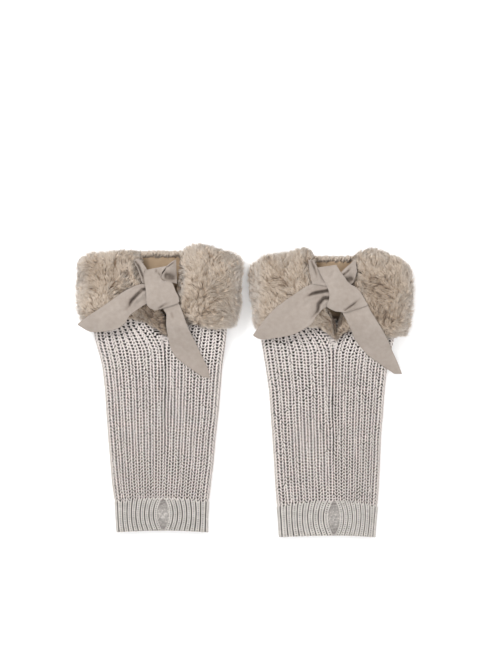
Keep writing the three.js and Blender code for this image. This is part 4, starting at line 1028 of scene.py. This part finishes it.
        # Tips gather to the lead lock of their clump, and a clump's edge lies lower
        lead = clump(root_top, lay, 15)
        pull = root_top[lead] - root_top
        pull -= out * (pull * out).sum(-1, keepdims=True)
        apart = np.linalg.norm(pull, axis=-1)
        lay = lay * (length * np.sin(tilt))[:, None] + (0.3 if group == "wisps" else 0.6) * pull
        reach = np.linalg.norm(lay, axis=-1)
        lay /= reach[:, None] + 1e-9
        height = length * np.cos(tilt)
        sunk = np.clip(apart / 4.5, 0, 1) ** 2 * 1.7 + np.abs(rng.normal(0, 0.35, n))
        if group == "wisps":
            sunk = -rng.uniform(0.2, 3.2, n)
        root = root_top - out * (height + sunk)[:, None] - lay * (0.45 * reach)[:, None]
        lumps = np.sin(root_top[:, 0] * 0.52 + 3 * np.sin(root_top[:, 1] * 0.19)) * np.sin(root_top[:, 1] * 0.47 + 1)
        level = 0.9 * lumps * np.clip(out[:, 2] + 0.3, 0.3, 1) * (group != "fringe")
        crossing, tall = root_top[:, 0] + 59 - 0.12 * (root_top[:, 1] - 313), root_top[:, 1]
        furrow = np.exp(-((crossing / 5.0) ** 2)) * smooth(tall, 284, 300) * (1 - smooth(tall, 322, 335))
        furrow = furrow * (group == "flap_l") * (leg == "left")
        root = root + out * (level - 3.2 * furrow + 0.9 * rim * rng.normal(0, 1, n)[lead])[:, None]
        width = np.clip((1.35 + rng.normal(0, 0.2, n)) * (1 - 0.25 * rim), 0.8, 2.0) * (1.25 if group == "band" else 1)
        if group == "wisps":
            width = rng.uniform(0.5, 0.8, n)
        grid, faces = locks(root, out, lay, np.hypot(reach, height), np.arctan2(reach, height), width)
        # Hair under the ribbon is pressed, and hair at the floor lies along it
        gx = np.clip(np.round(grid[..., 0] - map_x[0]).astype(int), 0, len(map_x) - 1)
        gy = np.clip(np.round(grid[..., 1] - map_y[0]).astype(int), 0, len(map_y) - 1)
        roof = press[gy, gx]
        roof = np.where(roof > 0, roof - RIBBON_THICK - 0.4, 1e3)
        grid[..., 2] = np.minimum(grid[..., 2], roof)
        if group == "band":
            left, right, low, high = LINING[leg]
            inside = (grid[..., 0] > left - 2) & (grid[..., 0] < right + 2)
            inside &= (grid[..., 1] > low - 2) & (grid[..., 1] < high)
            grid[..., 2] = np.where(inside, np.minimum(grid[..., 2], 9.7), grid[..., 2])
        grid[..., 2] = np.maximum(grid[..., 2], 0.35 + 0.25 * rng.uniform(0, 1, grid.shape[:2]))
        t = np.array([0.0, 0.0, 0.0, 0.6, 0.6, 0.6, 1.0])
        # Painted light: locks on the pile's steep sides and rims are toned lighter; painted shade: the locks of the
        # front ends are toned darker; each clump also varies a little at random.
        edge = 1.0 * rim + 0.05 * rng.normal(0, 1, n)[lead]
        edge = np.where(np.full(n, group == "ends"), -0.1, np.where(np.full(n, group == "fringe"), 0.05, edge))
        # Painted shade round the SHADED spots.
        for cx, cy, radius, depth in SHADED[leg]:
            far = np.hypot(root_top[:, 0] - cx, root_top[:, 1] - cy)
            edge = edge - depth * np.exp(-((far / radius) ** 2)) * (group != "band") * (group != "fringe")
        # Each lock darkens toward its root, partly the hair's own colour and partly painted shade deep in the pile;
        # clump edges and the left flap's furrow are toned darker as painted shade.
        root_tone = 0.5 if group == "fringe" else 0.15
        tone = root_tone + (0.73 - root_tone) * t[None] + (rng.normal(0, 0.06, n) + edge - 0.27 * np.clip(apart / 4.5, 0, 1) ** 2
                                    - 0.12 * furrow)[:, None]
        made = piece(f"fur_{group}_{leg}", leg, grid.reshape(-1, 3), faces, fur_paint.material, None, tone)
    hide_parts(f"fur_cuff_{leg}")

# The surface, light and camera
# The pair lies on a plain pale surface under broad soft light, seen from straight above.
bpy.ops.mesh.primitive_plane_add(size=8, location=(0, 0, 0))
table_top = bpy.context.object
table_top.name = "surface"
white = Paint("surface", 0.9, 0.0, 0.1)
white.colour((0.97, 0.97, 0.97, 1))
white.shader.inputs["Emission Color"].default_value = (1, 1, 1, 1)
white.shader.inputs["Emission Strength"].default_value = 0.15
table_top.data.materials.append(white.material)

world = bpy.data.worlds.new("studio")
bpy.context.scene.world = world
world.use_nodes = True
world.node_tree.nodes["Background"].inputs["Color"].default_value = (1, 1, 1, 1)
world.node_tree.nodes["Background"].inputs["Strength"].default_value = 0.95


def softbox(name, place, aim, size, power):
    """A square soft light that points at a place."""
    light = bpy.data.lights.new(name, "AREA")
    light.size = size
    light.energy = power
    holder = bpy.data.objects.new(name, light)
    holder.location = place
    holder.rotation_euler = (Vector(aim) - Vector(place)).to_track_quat("-Z", "Y").to_euler()
    bpy.context.scene.collection.objects.link(holder)


softbox("key", (-0.9, 1.1, 1.5), (0, 0, 0), 0.6, 20)
softbox("fill", (1.2, -0.8, 1.6), (0, 0, 0), 1.4, 9)

bpy.context.scene.view_settings.view_transform = "Standard"
camera = bpy.data.cameras.new("camera")
camera.lens = 100
camera.sensor_width = 36
view = bpy.data.objects.new("camera", camera)
PICTURE_HEIGHT = 658 * 1.2
view.location = (-0.0061, 0.0743, PICTURE_HEIGHT * 0.001 * 100 / 36 + 0.014)
view.rotation_euler = (0, 0, 0)
bpy.context.scene.collection.objects.link(view)
bpy.context.scene.camera = view
